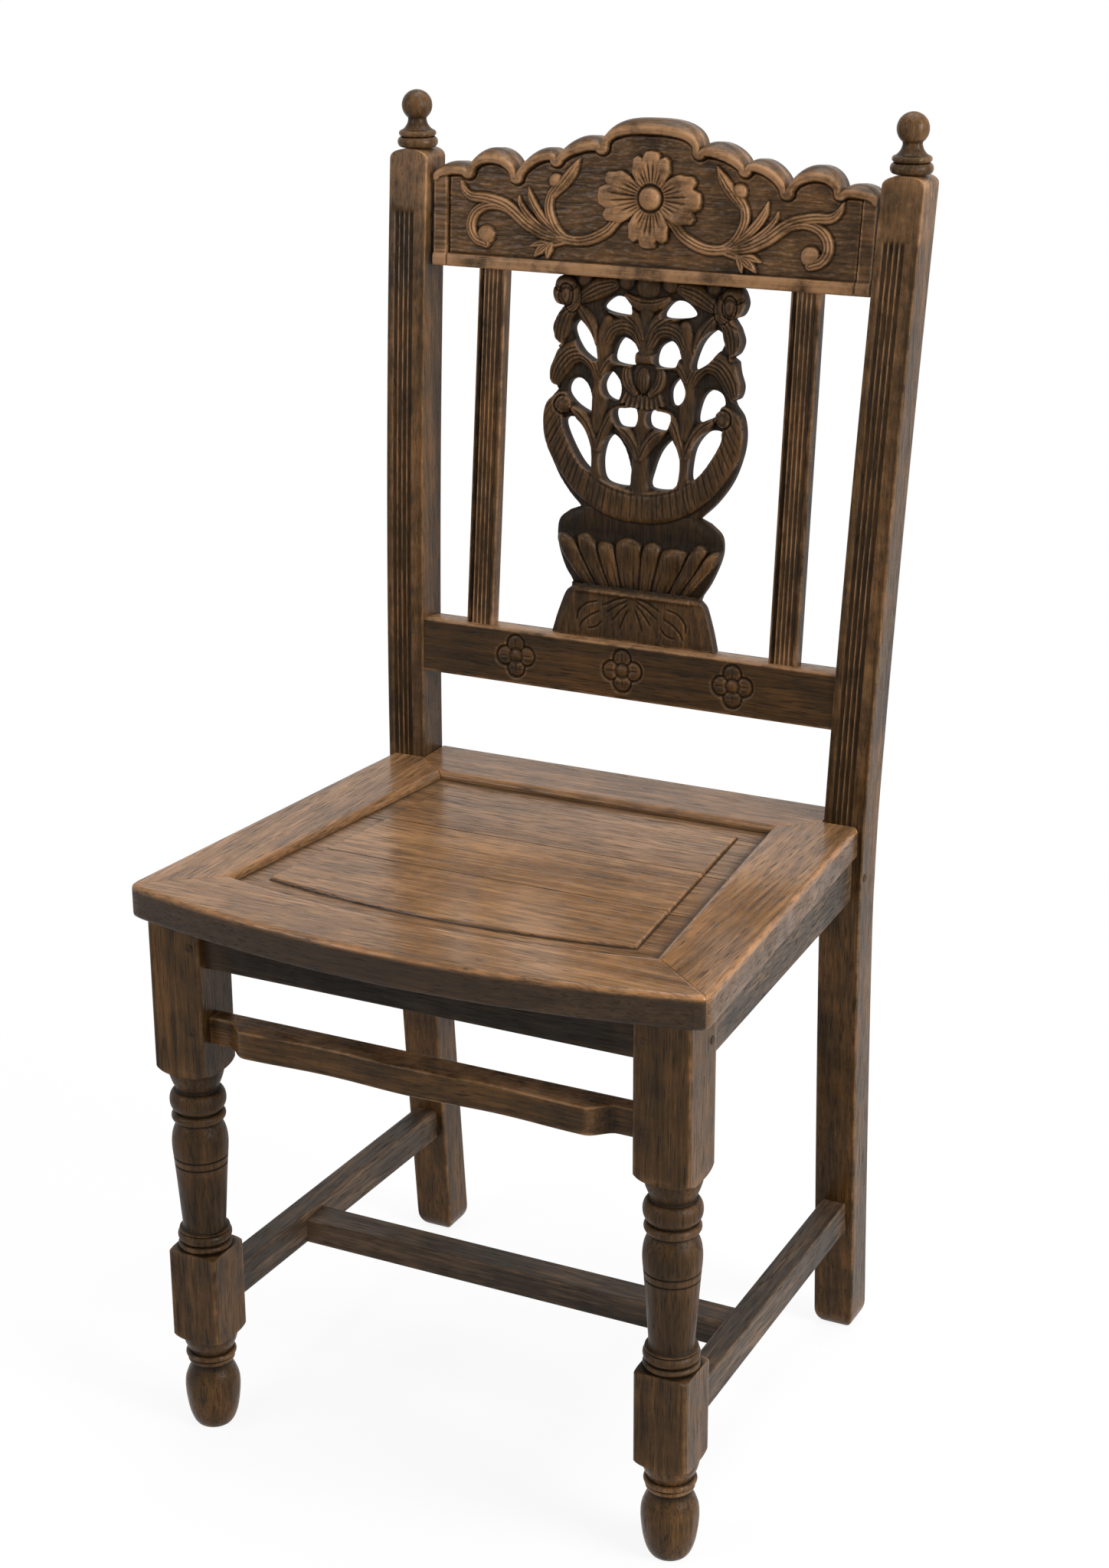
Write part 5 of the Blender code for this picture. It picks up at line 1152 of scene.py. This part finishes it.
def carve_bell(relief):
    """The flower that hangs in the middle: a ribbed bud over a flared and ruffled skirt."""
    relief.boss((0, 208.5), 10.0, 8.4, 2.2, SPLAT_GROUND, (0.66, 1.2))
    for across in (-2.6, 0.0, 2.6):
        relief.groove(((across * 0.5, 218), (across, 209), (across * 0.8, 199)), 0.9, 0.55)
    off = relief.points - np.array(SKIRT_MIDDLE)
    far = np.hypot(*off.T)
    angle = np.degrees(np.arctan2(off[:, 0], -off[:, 1]))
    flutes = np.cos(2 * math.pi * angle / SKIRT_FLUTE)
    inside = SKIRT_RADIUS + 0.7 * flutes - far
    rise = 8.0 - 2.6 * np.clip(inside / 11, 0, 1) - 0.75 * (1 - flutes) * np.clip(1.3 - inside / 10, 0, 1)
    rise *= np.clip(inside / 1.2, 0, 1) ** 0.5 * np.clip((SKIRT_SPREAD - np.abs(angle)) / 2, 0, 1) ** 0.5
    on_skirt = (inside > 0) & (inside < SKIRT_LENGTH) & (np.abs(angle) < SKIRT_SPREAD)
    relief.level = np.where(on_skirt, np.maximum(relief.level, SPLAT_GROUND + rise), relief.level)


def carve_basket(relief):
    """The crescent: a flat band with a raised inner lip and uneven upright cuts of the gouge."""
    path = mirrored(BASKET[::-1])[:-1] + list(BASKET)
    index, gap, offset, half, _, _ = relief.near(path)
    u = np.clip(gap / half, 0, 1)
    x, up = relief.points[index].T
    fan = np.degrees(np.arctan2(x, 300 - up))
    wander = np.array([noise.noise((f * 0.35, 0.4, 0)) for f in fan])
    flute = (0.5 + 0.5 * np.cos((fan + 0.9 * wander) * 2 * math.pi / 1.75)) ** 5
    flute *= 0.55 + 0.45 * np.array([noise.noise((f * 1.3, 7.0, 0)) for f in fan])
    rise = 14.2 - 2.6 * u**5 - 1.1 * flute * np.clip((0.84 - u) / 0.2, 0, 1)
    rise += 0.6 * np.exp(-(((offset - 0.86 * half) / 0.9) ** 2)) - 0.4 * np.exp(-(((offset - 0.68 * half) / 0.7) ** 2))
    relief.level[index] = np.where(u < 1, rise, relief.level[index])


def make_splat():
    outline, gaps, plinth = splat_loops(0.75)
    sheet = Sheet(outline, gaps, 0.75)
    x, up = sheet.points.T
    dome = np.sqrt(1 - (1 - np.clip(sheet.from_edge / 4.5, 0, 1)) ** 2)
    relief = Relief(sheet, SPLAT_GROUND + 3.2 * dome)
    relief.level = carve_bowl(relief.level, x, up, sheet.from_edge)
    carve_basket(relief)
    look = dict(base=SPLAT_GROUND, cut=0.85, reed=0.5, square=2.3)
    for path, height, reeds in SPLAT_STROKES:
        relief.stroke(path, height + 2.3, reeds, **look)
        if path[0][0] > 0 or path[-1][0] > 0:
            relief.stroke(mirrored(path), height + 2.3, [-r for r in reeds], **look)
    relief.stroke(((-13, 223, 2.5), (-9, 225, 4.4), (0, 225.5, 5.2), (9, 225, 4.4), (13, 223, 2.5)), 7.9, **look)
    for px, py, radius, height in SPLAT_BUDS:
        relief.boss((px, py), radius, height, base=SPLAT_GROUND)
        relief.boss((-px, py), radius, height, base=SPLAT_GROUND)
    carve_roses(relief)
    carve_bell(relief)
    for side in (-1, 1):
        off = np.hypot(x - side * 69, up - 184)
        relief.level -= 1.5 * np.exp(-(((off - 7.4) / 0.8) ** 2))
    from_side = nearest(sheet.points, plinth)[0]
    flat = 13.2 - 3.6 * np.clip(1 - from_side / 7.0, 0, 1) ** 1.2
    flat += 1.1 * np.exp(-(((up - 37.0) / 1.6) ** 2)) - 3.0 * np.clip((up - 38.5) / 2.5, 0, 1)
    relief.level = np.where(up < PLINTH_TOP, flat, relief.level)
    for path in PLINTH_LEAVES:
        relief.groove(path, 1.1, 0.7)
        relief.groove(mirrored(path), 1.1, 0.7)
    relief.tooled(0.30, 0.16, 0.10)
    level = np.clip(relief.level, 5.0, SPLAT_FRONT)
    return carved_board("carved_splat", sheet, level, RAIL_TOP + 0.3)


splat = make_splat()
level = in_front(splat)
rubbed_and_highlight = 0.10 * np.clip((level - 12.5) / 2.5, 0, 1)
z = vertex_array(splat)[:, 2]
in_basket = np.clip(((z - z.min()) / np.ptp(z) - 0.38) / 0.06, 0, 1)
# Darker all over and more from the basket up, with painted shade deepening towards the ground between the carving
grime = 0.20 + 0.16 * in_basket + 0.58 * np.clip((12.0 - level) / 4.5, 0, 1) * (level > 1)
fit(splat, oaks["oak_dark", "Z"], "oak_dark", "splat", wear=0.6 * (level > 1), rubbed_and_highlight=rubbed_and_highlight, dirt=0.6, grime=grime)

# %% [markdown]
# ## Lower back rail
# A plain rail with three small rosettes, four round petals about a boss, that were cut with a few strokes of a gouge.

# %% Lower rail
ROSETTES, ROSETTE_UP = (-95.5, 0.0, 95.5), 23.0
PETAL_PLACE, PETAL_RADIUS, ROSETTE_BOSS = 9.4, 8.2, 5.6
RAIL_HALF, RAIL_FRONT = 182.0, 26.0


def make_lower_rail():
    half, high, pitch = RAIL_HALF, RAIL_TOP, 0.85
    outline = even(((-half, 0), (half, 0), (half, high), (-half, high)), pitch)
    sheet = Sheet(outline, (), pitch)
    x, up = sheet.points.T
    edge = np.minimum(up, high - up)
    relief = Relief(sheet, RAIL_FRONT - 1.8 * (1 - np.sqrt(1 - (1 - np.clip(edge / 1.8, 0, 1)) ** 2)))
    relief.tooled(0.16, 0.03, 0.16, np.clip(edge / 4, 0, 1))
    relief.level = np.minimum(relief.level, RAIL_FRONT)
    for middle in ROSETTES:
        off = sheet.points - np.array((middle, ROSETTE_UP))
        far = np.hypot(*off.T)
        turn = np.arctan2(off[:, 1], off[:, 0]) - 0.06
        turn -= np.round(turn / (math.pi / 2)) * math.pi / 2
        along, beside = far * np.cos(turn), np.abs(far * np.sin(turn))
        petal = np.hypot(along - PETAL_PLACE, beside)
        parting = far * np.sin(math.pi / 4 - np.abs(turn))
        relief.level -= 0.8 * np.exp(-(((petal - PETAL_RADIUS) / 0.9) ** 2))
        relief.level -= 0.7 * np.exp(-((parting / 0.8) ** 2)) * (petal < 8.4)
        relief.level -= 0.8 * np.clip(petal / 7.6, 0, 1) ** 3 * (petal < PETAL_RADIUS)
        relief.level -= 0.6 * np.exp(-((beside / 0.55) ** 2)) * np.clip((along - 6) / 2, 0, 1) * (along < 13.5)
        relief.level -= 0.9 * np.exp(-(((far - 6.0) / 0.9) ** 2))
        boss = RAIL_FRONT - 1.3 * (far / ROSETTE_BOSS) ** 2.4
        relief.level = np.where(far < ROSETTE_BOSS, boss, relief.level)
    rail = carved_board("carved_lower_rail", sheet, np.clip(relief.level, 20, RAIL_FRONT), 0.0)
    fit(rail, oaks["oak_dark", "X"], "oak_dark", "lower_back_rail", wear=in_front(rail) > 1, dirt=0.5, grime=0.26)


make_lower_rail()

# %% [markdown]
# ## Seat frame
# Four boards, mitred at the corners, lie round the panel. Seen from above each board runs between two lines, the edge
# of the opening and the outside of the seat, so its section is drawn once across the board and carried along between
# them: a small ovolo falling to the panel, a flat top, a rounded upper arris where hands and knees rubbed, a straight
# edge and a softer lower arris. The last sections at each mitre are drawn down a little, which leaves the joint line.

# %% Seat plan
SEAT_TOP, SEAT_UNDER = 0.460, 0.434
SEAT_NOTCH, SEAT_CORNER = np.array((0.17777, 0.14812)), np.array((0.2335, -0.19885))
SEAT_FRONT, SEAT_BOW, SEAT_TAPER, SEAT_REAR = -0.22885, 0.030, 0.026, 0.18405
CORNER_ROUND = 0.009
OPENING_FRONT, OPENING_BACK = (0.180, -0.15535), (0.152, 0.12555)
OPENING_BOW, OPENING_TAPER = 0.021, 0.028
ARRIS, LOWER_ARRIS, MOULDING = 0.0038, 0.0032, 0.006


def seat_side(y):
    """X of the seat's outer side, which draws in towards the back."""
    return SEAT_CORNER[0] - SEAT_TAPER * (y - SEAT_CORNER[1]) / (SEAT_NOTCH[1] - SEAT_CORNER[1])


def seat_edge():
    """The outside of the seat, from the middle of its front round the corner to the notch for the post."""
    xs = np.linspace(0, SEAT_CORNER[0] - CORNER_ROUND, 70)
    front = np.stack((xs, SEAT_FRONT + SEAT_BOW * (xs / SEAT_CORNER[0]) ** 2), axis=1)
    turn_end = SEAT_CORNER[1] + CORNER_ROUND
    end = np.array((seat_side(turn_end), turn_end))
    share = np.linspace(0, 1, 13)[1:, None]
    turn = front[-1] * (1 - share) ** 2 + 2 * SEAT_CORNER * share * (1 - share) + end * share**2
    ys = np.linspace(turn_end, SEAT_NOTCH[1], 60)[1:]
    return np.vstack((front, turn, np.stack((seat_side(ys), ys), axis=1)))


def opening_edge(inset):
    """The front, side and back edges of the panel opening, right half, drawn in from the top of the moulding."""
    def side(y):
        return OPENING_FRONT[0] - OPENING_TAPER * (y - OPENING_FRONT[1]) / (OPENING_BACK[1] - OPENING_FRONT[1]) - inset

    def front(x):
        return OPENING_FRONT[1] + inset - OPENING_BOW * (1 - (x / OPENING_FRONT[0]) ** 2)

    corner = OPENING_FRONT[0]
    for _ in range(8):
        corner = side(front(corner))
    xs = np.linspace(0, corner, 60)
    ys = np.linspace(front(corner), OPENING_BACK[1] - inset, 60)
    back = np.linspace((side(ys[-1]), ys[-1]), (0, ys[-1]), 30)
    return np.stack((xs, front(xs)), axis=1), np.stack((side(ys), ys), axis=1), back


BOARD_STATIONS = np.concatenate(((0, 0.0022, 0.006), np.linspace(0.02, 0.98, 60), (0.994, 0.9978, 1)))


def both_halves(line):
    """A line from the middle outwards, continued to the other side."""
    return np.vstack((line[::-1] * (-1, 1), line[1:]))


print("seat:", round(2000 * seat_edge()[:, 0].max(), 1), "mm wide at its front corners")

# %% Seat frame boards
def toward(a, b, distance):
    """Points moved from a toward b by a distance."""
    step = b - a
    return a + step * (distance / np.maximum(np.linalg.norm(step, axis=1), 1e-6))[:, None]


def frame_board(name, low, inner, middle, outer):
    """A seat board between four lines in plan: foot and top of the moulding, the middle and the outside."""
    low, inner, middle, outer = (resampled(line, BOARD_STATIONS) for line in (low, inner, middle, outer))
    tangent = np.gradient(outer, axis=0)
    across = middle - outer
    slant = np.abs(tangent[:, 0] * across[:, 1] - tangent[:, 1] * across[:, 0])
    slant = slant / np.linalg.norm(tangent, axis=1) / np.linalg.norm(across, axis=1)
    rows = [(toward(low, middle, 0.004), SEAT_UNDER), (low, SEAT_UNDER), (low, 0.4562)]
    for turn in np.linspace(0.0, math.pi / 2, 6):
        rows.append((low + (inner - low) * (1 - math.cos(turn)), 0.4567 + 0.0033 * math.sin(turn)))
    rows += [(toward(inner, middle, 0.002), SEAT_TOP), (toward(inner, middle, 0.008), SEAT_TOP), (middle, SEAT_TOP)]
    rows += [((middle + outer) / 2, SEAT_TOP), (toward(outer, middle, 0.010 / slant), SEAT_TOP)]
    for turn in np.linspace(0, math.pi / 2, 9):
        inset = ARRIS * (1 - math.sin(turn)) / slant
        rows.append((toward(outer, middle, inset), SEAT_TOP - ARRIS * (1 - math.cos(turn))))
    rows += [(outer, 0.4535), (outer, 0.4440), (outer, 0.4385)]
    for turn in np.linspace(0, math.pi / 2, 5):
        inset = LOWER_ARRIS * (1 - math.cos(turn)) / slant
        rows.append((toward(outer, middle, inset), 0.4372 - LOWER_ARRIS * math.sin(turn)))
    rows += [(toward(outer, middle, 0.007 / slant), SEAT_UNDER), (middle, SEAT_UNDER)]
    rings = np.empty((len(low), len(rows), 3))
    for k, (plan, height) in enumerate(rows):
        rings[:, k, :2] = plan
        rings[:, k, 2] = height
        if height > 0.4565:
            rings[[0, -1], k, 2] -= 0.0007
            waves = [noise.noise((x * 19, y * 19, len(boards_fitted))) for x, y in plan]
            rings[:, k, 2] += 0.00022 * np.clip(waves, -1, 0)
    return skinned(name, rings)


def split_at_mitre(edge):
    """The seat's outside, parted where the front mitre meets it."""
    a, b = np.array(OPENING_FRONT), SEAT_CORNER
    beyond = (b[0] - a[0]) * (edge[:, 1] - a[1]) - (b[1] - a[1]) * (edge[:, 0] - a[0])
    cut = int(np.argmax(beyond > 0))
    share = beyond[cut - 1] / (beyond[cut - 1] - beyond[cut])
    corner = edge[cut - 1] + (edge[cut] - edge[cut - 1]) * share
    return np.vstack((edge[:cut], corner)), np.vstack((corner, edge[cut:]))


def opening_loop(inset):
    """The whole panel opening as a closed loop."""
    half = np.vstack(opening_edge(inset))
    return np.vstack((half, half[::-1] * (-1, 1)))


def fit_seat_board(board, along, node, outside=0.52):
    """Finish a seat board: paler on the outer arris where it wears, a painted highlight with some rubbing along the
    moulding's top edge, darker on the moulding and, by that share, painted shade down the outside to its lower edge.
    """
    x, y, height = vertex_array(board).T
    inner = nearest(np.stack((x, y), axis=1), even(opening_loop(0.0), 0.003))[0] < 0.0075
    arris = np.clip((height - 0.4540) / 0.003, 0, 1) * np.clip((0.46 - height) / 0.0010, 0, 1)
    # Painted shade darkens the outside towards its lower edge
    grime = np.where(inner & (height < 0.4597), 0.30, outside * np.clip((0.4585 - height) / 0.0045, 0, 1))
    # A painted highlight, with some rubbing, along the moulding's top edge
    rubbed_and_highlight = np.where(inner, 0.3 * (height > 0.4592), 0.4 * arris)
    fit(board, oaks["oak_seat", along], "oak_seat", node, wear=0.5, rubbed_and_highlight=rubbed_and_highlight, grime=grime)


def make_seat_frame():
    outer_front, outer_side = split_at_mitre(seat_edge())
    low_front, low_side, low_back = opening_edge(MOULDING)
    top_front, top_side, top_back = opening_edge(0.0)
    start = (top_side[0] + outer_side[0]) / 2
    middle = (resampled(top_front, BOARD_STATIONS) + resampled(outer_front, BOARD_STATIONS)) / 2
    lines = (low_front, top_front, middle, outer_front)
    # The front board's outside takes the most painted shade
    fit_seat_board(frame_board("seat_board_front", *map(both_halves, lines)), "X", "seat_frame_front", 0.95)
    for label, side in SIDES:
        lines = (low_side, top_side, np.linspace(start, SEAT_NOTCH, 40), outer_side)
        board = frame_board(f"seat_board_{label}", *(line * (side, 1) for line in lines))
        fit_seat_board(board, "Y", f"seat_frame_{label}")
    notch = np.linspace(SEAT_NOTCH, (0, SEAT_NOTCH[1]), 30)
    edge = np.linspace((SEAT_NOTCH[0], SEAT_REAR), (0, SEAT_REAR), 30)
    lines = (low_back, top_back, notch, edge)
    fit_seat_board(frame_board("seat_board_back", *(both_halves(line[::-1]) for line in lines)), "X", "seat_frame_back")


make_seat_frame()

# %% [markdown]
# ## Seat panel
# Three boards are glued up side by side, and one raised field is worked across all of them. So the panel is skinned in
# one piece, over ever smaller copies of the opening, and then cut at the joints, a hair apart.

# %% Seat panel
PANEL_TOP, FIELD_TOP, PANEL_UNDER = 0.4545, 0.4571, 0.4465
FIELD_INSET = 0.027
SEAMS = (-0.0654, 0.0136)
SEAM_HALF = 0.0005


def panel_rings():
    """Plan and height of the panel from its lower edge up, across its border and over the field."""
    steps = [(0.003, PANEL_UNDER), (0.003, 0.4530), (0.003, PANEL_TOP)]
    steps += [(inset, PANEL_TOP) for inset in (0.0062, 0.0075, 0.010, 0.014, 0.019, 0.0235, 0.0255, 0.0265)]
    steps += [(FIELD_INSET, PANEL_TOP - 0.0002), (FIELD_INSET + 0.0006, PANEL_TOP + 0.0012)]
    steps += [(FIELD_INSET + 0.0011, FIELD_TOP - 0.0004), (FIELD_INSET + 0.0016, FIELD_TOP)]
    steps += [(inset, FIELD_TOP) for inset in (0.0300, 0.0330, 0.0380, 0.045, 0.055, 0.067, 0.080, 0.095, 0.110, 0.125)]
    return [np.column_stack((opening_loop(inset), np.full(300, height))) for inset, height in steps]


def cut_board(name, whole, near, far):
    """A copy of the panel, cut off outside two joints."""
    board = whole.copy()
    board.data = whole.data.copy()
    board.name = board.data.name = name
    scene.collection.objects.link(board)
    for limit, ahead in ((near, -1), (far, 1)):
        with editing(board):
            bpy.ops.mesh.select_all(action="SELECT")
            bpy.ops.mesh.bisect(plane_co=(0, limit, 0), plane_no=(0, ahead, 0), use_fill=True, clear_outer=True)
    close_up(board, 30)
    return board


def make_panel():
    whole = skinned("panel", panel_rings())
    foot = even(opening_loop(FIELD_INSET) * 1000, 1.0)
    frame_edge = even(opening_loop(MOULDING) * 1000, 1.0)
    limits = (-0.3, *SEAMS, 0.3)
    for number, (name, near, far) in enumerate(zip(("front", "middle", "back"), limits, limits[1:])):
        board = cut_board(f"panel_board_{name}", whole, near + SEAM_HALF, far - SEAM_HALF)
        plan = vertex_array(board)[:, :2] * 1000
        beside_frame, beside_field = nearest(plan, frame_edge)[0], nearest(plan, foot)[0]
        on_field = within(plan, foot)
        # Painted shade in the sunk border beside the frame, and a painted shadow line at the foot of the field
        grime = 0.7 * np.exp(-beside_frame / 4) + 0.22 * np.exp(-((beside_field / 0.8) ** 2))
        # The border is darker all round
        grime += np.where(on_field, 0, 0.2)
        # A painted highlight along the field's raised edge
        edge = 0.5 * np.exp(-(((beside_field - 2.0) / 0.8) ** 2)) * on_field
        fit(board, oaks["oak_seat", "X"], "oak_seat", f"seat_panel_{name}", wear=0, rubbed_and_highlight=edge, grime=grime,
            board=40 + 0.21 * number)
    bpy.data.objects.remove(whole, do_unlink=True)


make_panel()

# %% [markdown]
# ## Pegs
# The pegs already have the right form in the CAD. Each is copied, its points merged and its edges softened, and a
# narrow border is inset into every face so that wear stays at the edges.

# %% Pegs
PEG_SOFT = PEG_BORDER = 0.0005


def softened_copy(name, node):
    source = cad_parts[node]
    piece = new_piece(name, [tuple(source.matrix_world @ v.co) for v in source.data.vertices], (),
                      [tuple(f.vertices) for f in source.data.polygons])
    with editing(piece):
        bpy.ops.mesh.select_all(action="SELECT")
        bpy.ops.mesh.remove_doubles(threshold=0.00001)
        bpy.ops.mesh.dissolve_limited(angle_limit=math.radians(1.0))
    modify(piece, "BEVEL", width=PEG_SOFT, segments=2, limit_method="ANGLE", angle_limit=math.radians(30),
           use_clamp_overlap=True)
    choose(piece, "polygons", lambda f: f.area > (3 * PEG_BORDER) ** 2)
    with editing(piece, "FACE"):
        bpy.ops.mesh.inset(thickness=PEG_BORDER, use_individual=True)
    close_up(piece, 34)
    return piece


for name in sorted(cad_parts):
    if "peg" in name:
        peg = softened_copy(f"oak_{name}", name)
        fit(peg, oaks["oak_pegs", "Y"], "oak_pegs", name)

# %% [markdown]
# ## Rails and lower stretchers
# The straight rails are bars with planed, softened corners. Their ends run a little way into legs and posts, where the
# real ones have their tenons. The front stretcher is sawn to a shaped front, so its section changes along it.

# %% Bars
def bar(name, start, end, width, height, soft):
    """A level bar between the middles of its ends, in metres."""
    start, end = np.array(start), np.array(end)
    ahead = (end - start) / np.linalg.norm(end - start)
    across = np.array((ahead[1], -ahead[0], 0.0))
    section = reeded_section(width * 1000, height * 1000, soft * 1000, (0.0, 4.0, 1), 0.0) * MM
    section[:, 1] -= height / 2
    rings = []
    for share in np.linspace(0, 1, 26):
        middle = start + (end - start) * share
        rings.append(middle + section[:, :1] * across - section[:, 1:2] * np.array((0, 0, 1.0)))
    return skinned(name, rings)


HIDDEN = 0.003
APRON_MIDDLE = (0.398 + 0.4337) / 2
# Width, height and rounding
RAIL_SIZE, LOW_SIZE, CROSS_SIZE = (0.018, 0.0357, 0.0012), (0.020, 0.0265, 0.0014), (0.027, 0.021, 0.0014)
# Half length or the ends' places in plan, and the height of the bars
FRONT_RAIL, BACK_RAIL, CROSS = (0.1764, -0.17785), (0.178, 0.16978), (0.18605, -0.03335)
SIDE_RAIL, LOW_STRETCHER = ((0.2112, -0.15185), (0.1945, 0.1472)), ((0.1984, -0.15285), (0.19216, 0.16414))
LOW_MIDDLE, CROSS_MIDDLE = 0.11075, 0.108


def fit_bar(name, node, along, start, end, size, **wear):
    fit(bar(name, start, end, *size), oaks["oak_plain", along], "oak_plain", node, **wear)


def across_bar(name, node, place, height, size, **wear):
    half, y = place
    fit_bar(name, node, "X", (-half - HIDDEN, y, height), (half + HIDDEN, y, height), size, **wear)


def side_bar(name, node, side, ends, height, size):
    (x0, y0), (x1, y1) = ends
    fit_bar(name, node, "Y", (side * x0, y0 - HIDDEN, height), (side * x1, y1 + HIDDEN, height), size, wear=0.6)


# The front apron is much darker: painted shade under the seat
across_bar("front_rail", "apron_front", FRONT_RAIL, APRON_MIDDLE, RAIL_SIZE, grime=0.6)
across_bar("back_rail", "apron_back", BACK_RAIL, APRON_MIDDLE, RAIL_SIZE, grime=0.2)
for label, side in SIDES:
    side_bar(f"side_rail_{label}", f"apron_{label}", side, SIDE_RAIL, APRON_MIDDLE, RAIL_SIZE)
    side_bar(f"low_stretcher_{label}", f"side_stretcher_{label}", side, LOW_STRETCHER, LOW_MIDDLE, LOW_SIZE)
across_bar("low_cross_stretcher", "cross_stretcher", CROSS, CROSS_MIDDLE, CROSS_SIZE, wear=0.6)

# %% Front stretcher
STRETCHER_REAR, STRETCHER_ENDS, STRETCHER_BELLY, STRETCHER_TOP = -0.17035, -0.18485, -0.19735, 0.358


def stretcher_front(x):
    """Y of the shaped front: a shallow hollow between two lobes, then a turn back to the ends."""
    lobe, turn = 0.1401, 0.1601
    if x < lobe:
        return STRETCHER_BELLY + 0.0015 * (1 - math.cos(2 * math.pi * x / lobe))
    share = min((x - lobe) / (turn - lobe), 1.0)
    return STRETCHER_BELLY + (STRETCHER_ENDS - STRETCHER_BELLY) * (1 - math.cos(math.pi * share)) / 2


def make_front_stretcher():
    rings = []
    for x in np.linspace(-FRONT_RAIL[0] - HIDDEN, FRONT_RAIL[0] + HIDDEN, 120):
        front = stretcher_front(abs(x))
        section = reeded_section((STRETCHER_REAR - front) / MM, 22, 1.6, (0.0, 4.0, 1), 0.0) * MM
        middle = (STRETCHER_REAR + front) / 2
        rings.append([(x, middle + across, STRETCHER_TOP - down) for across, down, _ in section])
    stretcher = skinned("shaped_front_stretcher", rings)
    on_top = np.clip(vertex_array(stretcher, "normal")[:, 2], 0, 1)
    # The top face is paler: painted light on a face that the seat shades, with some rubbing from feet
    fit(stretcher, oaks["oak_dark", "X"], "oak_dark", "front_stretcher", wear=0.6, rubbed_and_highlight=0.6 * on_top)


make_front_stretcher()

# %% [markdown]
# ## Floor, light and the CAD parts left standing
# The chair stands on a plain pale floor in soft studio light: a strong wide lamp on the right, a weaker one at the
# front on the left, one overhead, and a pale room all round. The room looks white to the camera and in reflections,
# through Light Path, while the light that it casts stays at a plain level.

# %% Studio
ROOM_LIGHT = 0.27


def looked_at(start):
    """1 for a ray that looks at the background, straight, in a reflection or through something, and 0 for light."""
    camera, glossy, through = (start.node("ShaderNodeLightPath", out=k) for k in (0, 3, 6))
    return (camera + glossy + through).clamped(0.0, 1.0)


def make_floor():
    bpy.ops.object.select_all(action="DESELECT")
    bpy.ops.mesh.primitive_plane_add(size=40, location=(0, 0, 0))
    floor = bpy.context.active_object
    floor.name = "floor"
    material = bpy.data.materials.new("pale_floor")
    material.use_nodes = True
    tree = material.node_tree
    tree.nodes.clear()
    start = Wire(tree)
    place = start.node("ShaderNodeTexCoord", out=3)
    away = start.node("ShaderNodeVectorMath", {"operation": "LENGTH"}, {0: place}, out=1)
    seen = looked_at(start) * (away.clamped(0.4, 1.4) * 0.1 + 0.9)
    matt = start.node("ShaderNodeBsdfDiffuse", {}, {"Color": (0.85, 0.85, 0.85, 1)})
    glow = start.node("ShaderNodeEmission", {}, {"Color": (1, 1, 1, 1), "Strength": 1.0})
    mixed = start.node("ShaderNodeMixShader", {}, {0: seen, 1: matt, 2: glow})
    output = tree.nodes.new("ShaderNodeOutputMaterial")
    tree.links.new(mixed.socket, output.inputs["Surface"])
    floor.data.materials.append(material)


def make_room():
    world = bpy.data.worlds.new("pale_room")
    scene.world = world
    world.use_nodes = True
    tree = world.node_tree
    tree.nodes.clear()
    start = Wire(tree)
    strength = looked_at(start) * (1 - ROOM_LIGHT) + ROOM_LIGHT
    background = start.node("ShaderNodeBackground", {}, {"Color": (1, 1, 1, 1), "Strength": strength})
    output = tree.nodes.new("ShaderNodeOutputWorld")
    tree.links.new(background.socket, output.inputs["Surface"])


def add_lamp(name, place, target, size, watts):
    data = bpy.data.lights.new(name, "AREA")
    data.shape = "RECTANGLE"
    data.size, data.size_y = size
    data.energy = watts
    lamp = bpy.data.objects.new(name, data)
    scene.collection.objects.link(lamp)
    lamp.location = place
    lamp.rotation_euler = (Vector(target) - Vector(place)).to_track_quat("-Z", "Y").to_euler()


make_floor()
make_room()
add_lamp("right_softbox", (3.1, -0.4, 1.7), (0, 0, 0.5), (1.4, 1.8), 146)
add_lamp("left_softbox", (-2.0, -2.5, 2.0), (0, 0, 0.5), (1.2, 1.6), 38)
add_lamp("top_softbox", (0.1, 0.4, 3.0), (0, 0, 0.4), (2.0, 2.0), 66)
scene.view_settings.view_transform = "Standard"
print("studio ready")

# %% The CAD parts left standing take plain oak
for name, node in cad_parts.items():
    if not node.hide_render:
        node.data.materials.clear()
        node.data.materials.append(oaks["oak_plain", "Y"])
